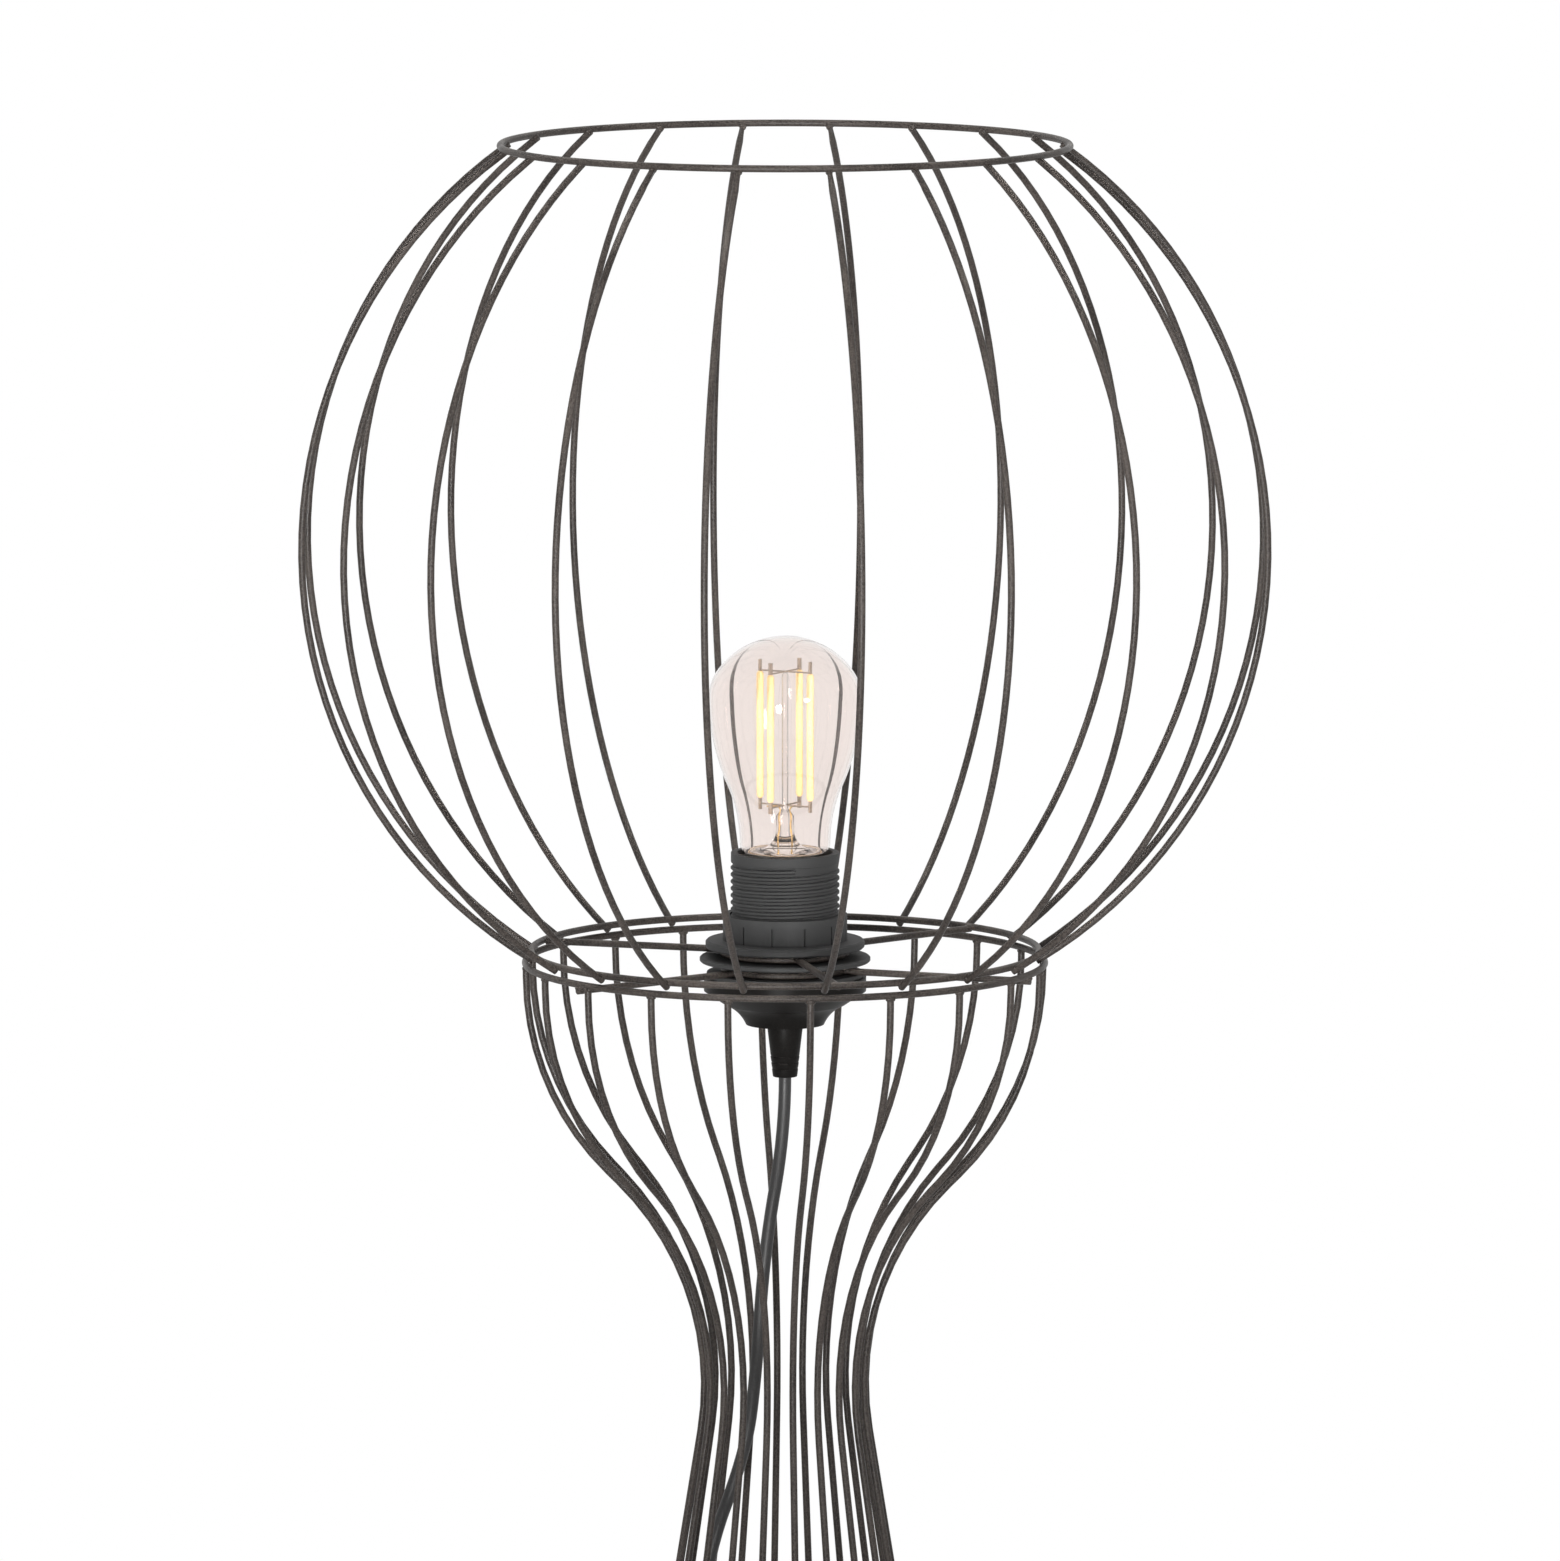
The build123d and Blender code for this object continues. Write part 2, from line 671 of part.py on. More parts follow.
# Support wires: one from the top of the rod, and one from its foot, to each filament's tabs.
support_end_r = filament_ring_r - tab_width / 2
with BuildPart() as filament_supports:
    for start_r, support_z in ((0, filament_top_z + support_r), (stem_rod_r, filament_z - tab_length / 2)):
        with PolarLocations(0, filament_count, start_angle=filament_azimuth - 90):
            with Locations(Location((start_r, 0, support_z), (0, 90, 0))):
                Cylinder(support_r, support_end_r - start_r, align=(Align.CENTER, Align.CENTER, Align.MIN))

# The driver board: a small upright circuit board inside the screw cap, under the stem.
with BuildPart() as bulb_driver:
    with Locations((0, 0, mouth_z)):
        Box(*driver_size, align=(Align.CENTER, Align.CENTER, Align.MAX))

# === Foot switch =================================================================================
switch_x, switch_y = switch_at
switch_plane = Plane(origin=(switch_x, switch_y, 0))
top_plate_z = switch_height - switch_wall
shelf_z = top_plate_z - switch_round / 2  # the cover is this wide inside up to here
button_z = top_plate_z - fit_gap - button_flange
button_top_z = switch_height + button_proud
contact_z = switch_floor + contact_size[2]
bridge_z = contact_z + contact_gap + button_travel
stem_z = bridge_z + bridge_size[2]
relief_inner_x = sqrt((switch_r - switch_wall) ** 2 - relief_collar_r**2)


def bore_screws(plane, radius, height, mode=Mode.ADD):
    """Adds or cuts a round post at each of the switch's screws, from a plane up."""
    with BuildSketch(plane) as outline:
        with PolarLocations(switch_screw_ring_r, switch_screw_count, start_angle=switch_screw_azimuth):
            Circle(radius)
    extrude(outline.sketch, amount=height, mode=mode)


def bore_cord_line():
    """Cuts the two round holes in the switch's wall that hold the strain reliefs."""
    with BuildSketch(Plane.YZ.offset(switch_x - switch_r)) as outline:
        with Locations((switch_y, cord_axis_height)):
            Circle(relief_root_r)
    extrude(outline.sketch, amount=2 * switch_r, mode=Mode.SUBTRACT)


with BuildPart() as switch_base:
    raise_disc(switch_plane, switch_r, switch_split)
    raise_disc(switch_plane.offset(switch_floor), switch_r - switch_wall, switch_split, Mode.SUBTRACT)
    bore_screws(switch_plane.offset(switch_floor), switch_boss_r, switch_split - switch_floor)
    bore_screws(switch_plane, switch_screw_r + fit_gap, switch_split, Mode.SUBTRACT)
    bore_screws(switch_plane, switch_screw_head_r + fit_gap, switch_screw_head + fit_gap, Mode.SUBTRACT)
    bore_cord_line()

split_plane = switch_plane.offset(switch_split)
with BuildPart() as switch_cover:
    raise_disc(split_plane, switch_r, switch_height - switch_split)
    fillet(switch_cover.edges().group_by(Axis.Z)[-1], switch_round)
    raise_disc(split_plane, switch_r - switch_wall, shelf_z - switch_split, Mode.SUBTRACT)
    raise_disc(switch_plane.offset(shelf_z), switch_r - switch_round, top_plate_z - shelf_z, Mode.SUBTRACT)
    bore_screws(split_plane, switch_boss_r, shelf_z - switch_split)
    bore_screws(split_plane, switch_screw_r, shelf_z - switch_split, Mode.SUBTRACT)
    raise_disc(switch_plane.offset(top_plate_z), button_hole_r, switch_wall, Mode.SUBTRACT)
    bore_cord_line()

with BuildPart() as switch_button:
    raise_disc(switch_plane.offset(button_z), button_hole_r - button_gap, button_top_z - button_z)
    fillet(switch_button.edges().group_by(Axis.Z)[-1], button_edge_r)
    raise_disc(switch_plane.offset(button_z), button_flange_r, button_flange)
    raise_disc(switch_plane.offset(stem_z), button_stem_r, button_z - stem_z)

with BuildPart() as switch_bridge:
    with Locations((switch_x, switch_y, bridge_z)):
        Box(*bridge_size, align=(Align.CENTER, Align.CENTER, Align.MIN))

contact_x = (bridge_size[0] - contact_size[0]) / 2
with BuildPart() as switch_contacts:
    with Locations(*[(switch_x + side * contact_x, switch_y, switch_floor) for side in (-1, 1)]):
        Box(*contact_size, align=(Align.CENTER, Align.CENTER, Align.MIN))

# The spring: a helix in arcs, two to each quarter turn, between the switch's floor and its button.
spring_z = switch_floor + spring_wire_r + spring_gap
spring_height = button_z - spring_wire_r - spring_gap - spring_z
spring_climb = spring_height / (spring_turns * 2 * pi)


def spring_place(angle):
    """The point of the spring's centre line at this angle in radians."""
    return Vector(
        switch_x + spring_r * cos(angle),
        switch_y + spring_r * sin(angle),
        spring_z + spring_climb * angle,
    )


def spring_heading(angle):
    """The direction of the spring's centre line at this angle in radians."""
    return Vector(-spring_r * sin(angle), spring_r * cos(angle), spring_climb).normalized()


def draw_biarc(start, start_heading, end, end_heading):
    """Draws two arcs that meet in line, from a point and heading to another."""
    chord = end - start
    headings = start_heading + end_heading
    spread = 2 * (1 - start_heading.dot(end_heading))
    along = chord.dot(headings)
    reach = (sqrt(along**2 + spread * chord.dot(chord)) - along) / spread
    start_corner = start + start_heading * reach
    end_corner = end - end_heading * reach
    meeting = (start_corner + end_corner) / 2
    TangentArc(start, meeting, tangent=start_heading)
    TangentArc(meeting, end, tangent=end_corner - start_corner)


with BuildPart() as switch_spring:
    with BuildLine() as spring_line:
        for quarter in range(4 * spring_turns):
            here, there = quarter * pi / 2, (quarter + 1) * pi / 2
            draw_biarc(spring_place(here), spring_heading(here), spring_place(there), spring_heading(there))
    run_round(spring_line.line, spring_wire_r)

with BuildPart() as switch_screws:
    bore_screws(switch_plane.offset(fit_gap), switch_screw_head_r, switch_screw_head)
    bore_screws(switch_plane.offset(fit_gap), switch_screw_r, switch_split + switch_screw_bite - fit_gap)

# Strain reliefs: tapered rubber sleeves at the switch's two sides, each with a collar inside the wall.
with BuildPart() as switch_reliefs:
    for side in (-1, 1):
        with BuildSketch(Plane.XY.offset(cord_axis_height)):
            with BuildLine():
                Polyline(
                    (switch_x + side * (relief_inner_x - relief_collar), switch_y),
                    (switch_x + side * (relief_inner_x - relief_collar), switch_y + relief_collar_r),
                    (switch_x + side * relief_inner_x, switch_y + relief_collar_r),
                    (switch_x + side * relief_inner_x, switch_y + relief_root_r),
                    (switch_x + side * switch_r, switch_y + relief_root_r),
                    (switch_x + side * (switch_r + relief_length), switch_y + relief_end_r),
                    (switch_x + side * (switch_r + relief_length), switch_y),
                    close=True,
                )
            make_face()
        revolve(axis=Axis((switch_x, switch_y, cord_axis_height), (1, 0, 0)))

# === Plug ========================================================================================
plug_x, plug_y = plug_at
plug_z = plug_thickness / 2
plug_face_y = plug_y - plug_length
with BuildPart() as plug_body:
    with BuildSketch():
        with BuildLine():
            Polyline(
                (plug_x - plug_rear_width / 2, plug_y),
                (plug_x + plug_rear_width / 2, plug_y),
                (plug_x + plug_width / 2, plug_face_y + plug_front),
                (plug_x + plug_width / 2, plug_face_y),
                (plug_x - plug_width / 2, plug_face_y),
                (plug_x - plug_width / 2, plug_face_y + plug_front),
                close=True,
            )
        make_face()
    extrude(amount=plug_thickness)
    fillet(plug_body.edges().filter_by(Axis.Z), plug_corner_r)
    chamfer(plug_body.faces().filter_by(Axis.Z).edges(), plug_chamfer)

with BuildPart() as plug_pins:
    with BuildSketch(Plane.XZ.offset(-plug_face_y)):
        with Locations(*[(plug_x + side * pin_spacing / 2, plug_z) for side in (-1, 1)]):
            Circle(pin_r)
    extrude(amount=pin_length)
    fillet(plug_pins.edges().group_by(Axis.Y)[0], pin_round)

with BuildPart() as plug_relief:
    with BuildSketch(Plane.XY.offset(plug_z)):
        with BuildLine():
            Polyline(
                (plug_x, plug_y),
                (plug_x + plug_relief_root_r, plug_y),
                (plug_x + plug_relief_end_r, plug_y + plug_relief_length),
                (plug_x, plug_y + plug_relief_length),
                close=True,
            )
        make_face()
    revolve(axis=Axis((plug_x, plug_y, plug_z), (0, 1, 0)))

# === Cord ========================================================================================
# From the grip the cord hangs down inside the waist, leans to the left where the base flares, and
# follows the flare down at the back left. It goes over the floor hoop midway between two ribs,
# turns right on the floor, and runs into the foot switch.
switch_in_x = switch_x - switch_r - relief_length
switch_out_x = switch_x + switch_r + relief_length
drop_points = (
    (0, 0, grip_end_z),
    (0, 0, 995),
    (-7.3, 1.5, 953),
    (-10.5, 4, 905),
    (-14, 7, 878),
    (-28.5, 11, 838),
    (-34, 15, 786),
    (-39, 23, 730),
    (-44, 32, 672),
    (-49, 42, 612),
    (-53.5, 52, 552),
    (-57.5, 62, 490),
    (-61, 71.5, 430),
    (-64, 80.5, 370),
    (-66.5, 89.5, 308),
    (-68.5, 97.5, 248),
    (-70.2, 104.5, 190),
    (-71.5, 110, 135),
    (-73, 114, 88),
    (-75.2, 118, 54),
    (-79.5, 124.8, 31),
    (-88, 138.2, 15),
    (-98.8, 155.1, 13),
    (-109.5, 172, 5),
    (-114, 190, cord_r),
    (-110, 210, cord_r),
    (-97, 226, cord_r),
    (-78, 235, 3.2),
    (-58, switch_y, cord_axis_height),
    (switch_in_x, switch_y, cord_axis_height),
)


def draw_route(points):
    """Draws a cord's route: straight runs joined by arcs as large as the runs allow. Gives their radii."""
    corners = [Vector(*point) for point in points]
    radii = []
    for before, corner, after in zip(corners, corners[1:], corners[2:]):
        shorter_run = min((corner - before).length, (after - corner).length)
        corner_turn = radians((corner - before).get_angle(after - corner))
        radii.append(cord_arc_share * shorter_run / tan(corner_turn / 2))
    FilletPolyline(*corners, radius=radii)
    return radii


def report_cord(name, cord, line, radii):
    """Prints a cord's length, its volume against its section times its length, and its arcs' radii."""
    share = cord.part.volume / (pi * cord_r**2 * line.length)
    rounded = [round(radius, 1) for radius in radii]
    print(f"{name}: length {line.length:.1f}, volume share {share:.4f}, radii {rounded}")


with BuildPart() as cord_drop:
    with BuildLine() as drop_line:
        drop_radii = draw_route(drop_points)
    run_round(drop_line.line, cord_r)

# The coil: flat half turns whose centres step from side to side. They wind in, climb and wind out.
coil_outer_r = coil_inner_r + coil_half_turns_in * coil_step / 2
coil_y = switch_y - coil_outer_r
coil_low_z = tie_thickness + cord_r
coil_high_z = coil_low_z + coil_layer


def coil_places():
    """The points where the coil's half turns meet, each with the side of the coil's centre it is on."""
    lower = [(coil_outer_r - step * coil_step / 2, coil_low_z) for step in range(coil_half_turns_in + 1)]
    upper = [(coil_inner_r + step * coil_step / 2, coil_high_z) for step in range(coil_half_turns_out + 1)]
    sides = [(-1) ** step for step in range(len(lower) + len(upper))]
    return [(side, Vector(coil_x, coil_y + side * r, z)) for side, (r, z) in zip(sides, lower + upper)]


places = coil_places()
coil_start = places[0][1] - Vector(cord_d, 0, 0)
coil_end = places[-1][1] + Vector(cord_d, 0, 0)
with BuildPart() as cord_coil:
    with BuildLine() as coil_line:
        Line(coil_start, places[0][1])
        for (side, start), (_, end) in zip(places, places[1:]):
            bulge = Vector(side * (end - start).length / 2, 0, 0)
            ThreePointArc(start, (start + end) / 2 + bulge, end)
        Line(places[-1][1], coil_end)
    run_round(coil_line.line, cord_r)

with BuildPart() as cord_lead:
    with BuildLine() as lead_line:
        lead_radii = draw_route(
            (
                (switch_out_x, switch_y, cord_axis_height),
                (62, switch_y, cord_axis_height),
                (76, switch_y, coil_low_z),
                coil_start,
            )
        )
    run_round(lead_line.line, cord_r)

plug_cord_y = plug_y + plug_relief_length
with BuildPart() as cord_tail:
    with BuildLine() as tail_line:
        tail_radii = draw_route(
            (
                coil_end,
                (112, coil_end.Y, coil_end.Z),
                (138, 232.5, 7.9),
                (163, 225, 7.2),
                (182.5, 210, 6.9),
                (plug_x, 196, plug_z),
                (plug_x, plug_cord_y, plug_z),
            )
        )
    run_round(tail_line.line, cord_r)

# The tie: a flat band closed round the coil's turns at one place.
tie_in = Vector(cos(radians(tie_azimuth)), sin(radians(tie_azimuth)), 0)
tie_inner_r = coil_inner_r - coil_step / 2 - cord_r - tie_gap
tie_outer_r = coil_outer_r + cord_r + tie_gap
tie_span = tie_outer_r - tie_inner_r
tie_opening = coil_layer + cord_d + tie_gap
tie_middle = (tie_inner_r + tie_outer_r) / 2
tie_walls = 2 * tie_thickness
with BuildPart() as coil_tie:
    with BuildSketch(
        Plane(
            origin=Vector(coil_x, coil_y, tie_thickness + tie_opening / 2) + tie_in * tie_middle,
            x_dir=tie_in,
            z_dir=tie_in.rotate(Axis.Z, -90),
        )
    ):
        RectangleRounded(tie_span + tie_walls, tie_opening + tie_walls, cord_r + tie_thickness)
        RectangleRounded(tie_span, tie_opening, cord_r, mode=Mode.SUBTRACT)
    extrude(amount=tie_width / 2, both=True)


def least_self_gap(line, pieces=900):
    """The least gap in millimetres between two stretches of a cord that aren't next to each other."""
    points = [line @ (step / pieces) for step in range(pieces + 1)]
    apart = ceil(coil_inner_r / (line.length / pieces))
    nearest = min(
        (points[low] - points[high]).length
        for low in range(pieces + 1)
        for high in range(low + apart, pieces + 1)
    )
    return nearest - cord_d


report_cord("cord_drop", cord_drop, drop_line.wire(), drop_radii)
report_cord("cord_lead", cord_lead, lead_line.wire(), lead_radii)
coil_radii = [(start - end).length / 2 for (_, start), (_, end) in zip(places, places[1:])]
report_cord("cord_coil", cord_coil, coil_line.wire(), coil_radii)
report_cord("cord_tail", cord_tail, tail_line.wire(), tail_radii)
print(f"the coil's least gap to itself: {least_self_gap(coil_line.wire()):.2f}")

# === Files =======================================================================================
pieces = {
    "shade_top_hoop": shade_top_hoop,
    "shade_ribs": shade_ribs,
    "shade_neck_hoop": shade_neck_hoop,
    "shade_spokes": shade_spokes,
    "shade_hub_hoop": shade_hub_hoop,
    "base_top_hoop": base_top_hoop,
    "base_ribs": base_ribs,
    "base_spokes": base_spokes,
    "base_hub_hoop": base_hub_hoop,
    "floor_hoop": floor_hoop,
    "floor_glides": floor_glides,
    "holder_sleeve": holder_sleeve,
    "upper_ring_nut": upper_ring_nut,
    "lower_ring_nut": lower_ring_nut,
    "holder_cap": holder_cap,
    "holder_core": holder_core,
    "screw_shell": screw_shell,
    "centre_contact": centre_contact,
    "terminals": terminals,
    "terminal_screws": terminal_screws,
    "conductors": conductors,
    "cord_grip": cord_grip,
    "bulb_glass": bulb_glass,
    "bulb_cap": bulb_cap,
    "bulb_cap_insulator": bulb_cap_insulator,
    "bulb_tip_contact": bulb_tip_contact,
    "bulb_stem": bulb_stem,
    "bulb_filaments": bulb_filaments,
    "filament_tabs": filament_tabs,
    "filament_supports": filament_supports,
    "bulb_driver": bulb_driver,
    "switch_base": switch_base,
    "switch_cover": switch_cover,
    "switch_button": switch_button,
    "switch_bridge": switch_bridge,
    "switch_contacts": switch_contacts,
    "switch_spring": switch_spring,
    "switch_screws": switch_screws,
    "switch_reliefs": switch_reliefs,
    "plug_body": plug_body,
    "plug_pins": plug_pins,
    "plug_relief": plug_relief,
    "cord_drop": cord_drop,
    "cord_lead": cord_lead,
    "cord_coil": cord_coil,
    "cord_tail": cord_tail,
    "coil_tie": coil_tie,
}
os.makedirs("parts", exist_ok=True)
for name, piece in pieces.items():
    piece.part.label = name
    export_step(piece.part, f"parts/{name}.step")
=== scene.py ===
"""A wire cage floor lamp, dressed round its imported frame: wires, lampholder, bulb, cord, switch and plug.

Metres, +Z up, the floor at z = 0 and the lamp on the Z axis, with its front towards -Y. Sizes written as
fields are in millimetres, and every piece's place comes from the frame or from those fields.
"""

import cmath
import logging
from dataclasses import dataclass, field
from enum import Enum
from math import atan2, cos, hypot, pi, radians, sin

import bmesh
import bpy
from mathutils import Matrix, Vector


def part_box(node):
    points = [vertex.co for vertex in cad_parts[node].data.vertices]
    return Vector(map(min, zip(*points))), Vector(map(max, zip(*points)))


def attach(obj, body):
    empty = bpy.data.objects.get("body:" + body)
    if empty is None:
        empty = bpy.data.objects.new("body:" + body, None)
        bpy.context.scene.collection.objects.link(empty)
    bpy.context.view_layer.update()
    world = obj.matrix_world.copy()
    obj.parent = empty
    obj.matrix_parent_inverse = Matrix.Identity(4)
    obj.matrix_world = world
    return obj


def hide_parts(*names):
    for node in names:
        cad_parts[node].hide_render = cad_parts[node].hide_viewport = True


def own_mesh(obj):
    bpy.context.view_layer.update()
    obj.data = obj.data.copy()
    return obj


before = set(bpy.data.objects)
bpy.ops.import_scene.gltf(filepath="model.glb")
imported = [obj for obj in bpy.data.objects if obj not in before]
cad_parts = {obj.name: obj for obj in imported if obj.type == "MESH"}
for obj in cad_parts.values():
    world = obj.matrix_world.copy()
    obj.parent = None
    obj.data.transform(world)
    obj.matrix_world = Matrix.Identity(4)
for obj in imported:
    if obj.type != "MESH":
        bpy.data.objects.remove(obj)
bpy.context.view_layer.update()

MM = 0.001
FULL_TURN = 2 * pi
WELD_DISTANCE = 1e-6

Outline = list[tuple[float, float]]
Point = tuple[float, float, float]

logging.basicConfig(level=logging.INFO, format="%(message)s")
log = logging.getLogger("lamp")


class Body(str, Enum):
    """The bodies of the frame that pieces ride on."""

    LAMP = "lamp"
    BULB = "bulb"
    BUTTON = "button"


# --- Shader groups -------------------------------------------------------------------------------
def open_group(name: str, inputs: dict[str, str], outputs: dict[str, str]) -> bpy.types.NodeTree:
    """Makes an empty shader node group with typed sockets.

    Args:
        name: the group's name.
        inputs: each input socket's name and type, which is Float or Color.
        outputs: each output socket's name and type.
    Returns:
        The new node tree, with its Group Input and Group Output nodes in place.
    """
    tree = bpy.data.node_groups.new(name, "ShaderNodeTree")
    for side, sockets in (("INPUT", inputs), ("OUTPUT", outputs)):
        for label, kind in sockets.items():
            tree.interface.new_socket(label, in_out=side, socket_type=f"NodeSocket{kind}")
    tree.nodes.new("NodeGroupInput")
    tree.nodes.new("NodeGroupOutput")
    return tree


def noise(tree: bpy.types.NodeTree, vector, scale, detail: float) -> bpy.types.NodeSocket:
    """Adds a noise texture to a tree.

    Args:
        tree: the tree to add to.
        vector: the socket with the place to read.
        scale: the socket or number that sets the scale.
        detail: how many octaves it has.
    Returns:
        The texture's factor.
    """
    texture = tree.nodes.new("ShaderNodeTexNoise")
    texture.inputs["Detail"].default_value = detail
    tree.links.new(vector, texture.inputs["Vector"])
    if isinstance(scale, bpy.types.NodeSocket):
        tree.links.new(scale, texture.inputs["Scale"])
    else:
        texture.inputs["Scale"].default_value = scale
    return texture.outputs["Fac"]


def spread(tree: bpy.types.NodeTree, value, low: float, high: float) -> bpy.types.NodeSocket:
    """Stretches a value so that low becomes 0 and high becomes 1.

    Args:
        tree: the tree to add to.
        value: the socket to stretch.
        low: the value that becomes 0.
        high: the value that becomes 1.
    Returns:
        The stretched value.
    """
    span = tree.nodes.new("ShaderNodeMapRange")
    span.inputs["From Min"].default_value = low
    span.inputs["From Max"].default_value = high
    tree.links.new(value, span.inputs["Value"])
    return span.outputs["Result"]


def blend_colours(tree: bpy.types.NodeTree, share, first, second) -> bpy.types.NodeSocket:
    """Mixes two colours of a tree.

    Args:
        tree: the tree to add to.
        share: the socket that says how much of the second colour shows.
        first: the first colour's socket.
        second: the second colour's socket.
    Returns:
        The mixed colour.
    """
    mix = tree.nodes.new("ShaderNodeMix")
    mix.data_type = "RGBA"
    tree.links.new(share, mix.inputs["Factor"])
    tree.links.new(first, mix.inputs[6])
    tree.links.new(second, mix.inputs[7])
    return mix.outputs[2]


FINE_SHARE = 0.6
BROAD_SHARE = 0.4


def make_grain_group() -> bpy.types.NodeTree:
    """Builds the grain that coats and mouldings share: fine specks over broad, slow changes of tone.

    Returns:
        The group, which gives a colour, a roughness and a height.
    """
    tree = open_group(
        "surface_grain",
        {"Fine Scale": "Float", "Broad Scale": "Float", "Dark": "Color", "Light": "Color",
         "Rough Low": "Float", "Rough High": "Float"},
        {"Colour": "Color", "Roughness": "Float", "Height": "Float"},
    )
    source = tree.nodes["Group Input"].outputs
    result = tree.nodes["Group Output"].inputs
    place = tree.nodes.new("ShaderNodeTexCoord").outputs["Object"]
    fine = noise(tree, place, source["Fine Scale"], 3.0)
    broad = noise(tree, place, source["Broad Scale"], 4.0)
    both = tree.nodes.new("ShaderNodeMath")
    both.operation = "MULTIPLY_ADD"
    both.inputs[1].default_value = FINE_SHARE
    tree.links.new(fine, both.inputs[0])
    # """Gives the spring a mesh of its own."""
    weighted = tree.nodes.new("ShaderNodeMath")
    weighted.operation = "MULTIPLY"
    weighted.inputs[1].default_value = BROAD_SHARE
    tree.links.new(broad, weighted.inputs[0])
    tree.links.new(weighted.outputs[0], both.inputs[2])
    share = spread(tree, both.outputs[0], 0.38, 0.62)
    tree.links.new(blend_colours(tree, share, source["Dark"], source["Light"]), result["Colour"])
    rough = tree.nodes.new("ShaderNodeMapRange")
    rough.inputs["From Min"].default_value = 0.35
    rough.inputs["From Max"].default_value = 0.65
    tree.links.new(broad, rough.inputs["Value"])
    tree.links.new(source["Rough Low"], rough.inputs["To Min"])
    tree.links.new(source["Rough High"], rough.inputs["To Max"])
    tree.links.new(rough.outputs["Result"], result["Roughness"])
    tree.links.new(fine, result["Height"])
    return tree


def make_dust_group() -> bpy.types.NodeTree:
    """Builds the thin dust that settles on faces that look up.

    Returns:
        The group, which takes a colour and gives it back with dust on it.
    """
    tree = open_group(
        "settled_dust",
        {"Colour": "Color", "Dust": "Color", "Amount": "Float"},
        {"Colour": "Color"},
    )
    source = tree.nodes["Group Input"].outputs
    place = tree.nodes.new("ShaderNodeTexCoord").outputs["Object"]
    patches = spread(tree, noise(tree, place, 60.0, 5.0), 0.42, 0.72)
    heading = tree.nodes.new("ShaderNodeSeparateXYZ")
    tree.links.new(tree.nodes.new("ShaderNodeNewGeometry").outputs["Normal"], heading.inputs[0])
    upward = spread(tree, heading.outputs["Z"], 0.25, 1.0)
    mask = patches
    for factor in (upward, source["Amount"]):
        product = tree.nodes.new("ShaderNodeMath")
        product.operation = "MULTIPLY"
        tree.links.new(mask, product.inputs[0])
        tree.links.new(factor, product.inputs[1])
        mask = product.outputs[0]
    mixed = blend_colours(tree, mask, source["Colour"], source["Dust"])
    tree.links.new(mixed, tree.nodes["Group Output"].inputs["Colour"])
    return tree


GRAIN = make_grain_group()
DUST = make_dust_group()
DUST_COLOUR = (0.30, 0.27, 0.24, 1.0)


# --- Finishes ------------------------------------------------------------------------------------
@dataclass(frozen=True)
class Finish:
    """An opaque finish: a coat, a moulding or a metal, with its grain.

    Its two colours are the darkest and lightest tone that the grain runs between.
    """

    name: str
    dark: Point
    light: Point
    rough: tuple[float, float]
    fine_scale: float = 2200.0
    broad_scale: float = 40.0
    bump_mm: float = 0.05
    bump_strength: float = 0.3
    metallic: float = 0.0
    dust: float = 0.0
    coat: float = 0.0
    # strength of a painted glow: the surface's own colour emitted as painted light, not a lamp
    painted_glow: float = 0.0
    specular: float = 0.5

    def material(self) -> bpy.types.Material:
        """Returns this finish's material, which is made once.

        Returns:
            The material.
        """
        made = bpy.data.materials.get(self.name)
        if made:
            return made
        made = bpy.data.materials.new(self.name)
        made.use_nodes = True
        tree = made.node_tree
        shader = tree.nodes["Principled BSDF"]
        shader.inputs["Metallic"].default_value = self.metallic
        shader.inputs["Coat Weight"].default_value = self.coat
        shader.inputs["Specular IOR Level"].default_value = self.specular
        grain = tree.nodes.new("ShaderNodeGroup")
        grain.node_tree = GRAIN
        grain.inputs["Fine Scale"].default_value = self.fine_scale
        grain.inputs["Broad Scale"].default_value = self.broad_scale
        grain.inputs["Dark"].default_value = (*self.dark, 1.0)
        grain.inputs["Light"].default_value = (*self.light, 1.0)
        grain.inputs["Rough Low"].default_value = self.rough[0]
        grain.inputs["Rough High"].default_value = self.rough[1]
        colour = grain.outputs["Colour"]
        if self.dust:
            dust = tree.nodes.new("ShaderNodeGroup")
            dust.node_tree = DUST
            dust.inputs["Dust"].default_value = DUST_COLOUR
            dust.inputs["Amount"].default_value = self.dust
            tree.links.new(colour, dust.inputs["Colour"])
            colour = dust.outputs["Colour"]
        tree.links.new(colour, shader.inputs["Base Color"])
        tree.links.new(grain.outputs["Roughness"], shader.inputs["Roughness"])
        # Painted light: the colour is also emitted, as a faint painted glow
        if self.painted_glow:
            tree.links.new(colour, shader.inputs["Emission Color"])
            shader.inputs["Emission Strength"].default_value = self.painted_glow
        bump = tree.nodes.new("ShaderNodeBump")
        bump.inputs["Strength"].default_value = self.bump_strength
        bump.inputs["Distance"].default_value = self.bump_mm * MM
        tree.links.new(grain.outputs["Height"], bump.inputs["Height"])
        tree.links.new(bump.outputs["Normal"], shader.inputs["Normal"])
        return made


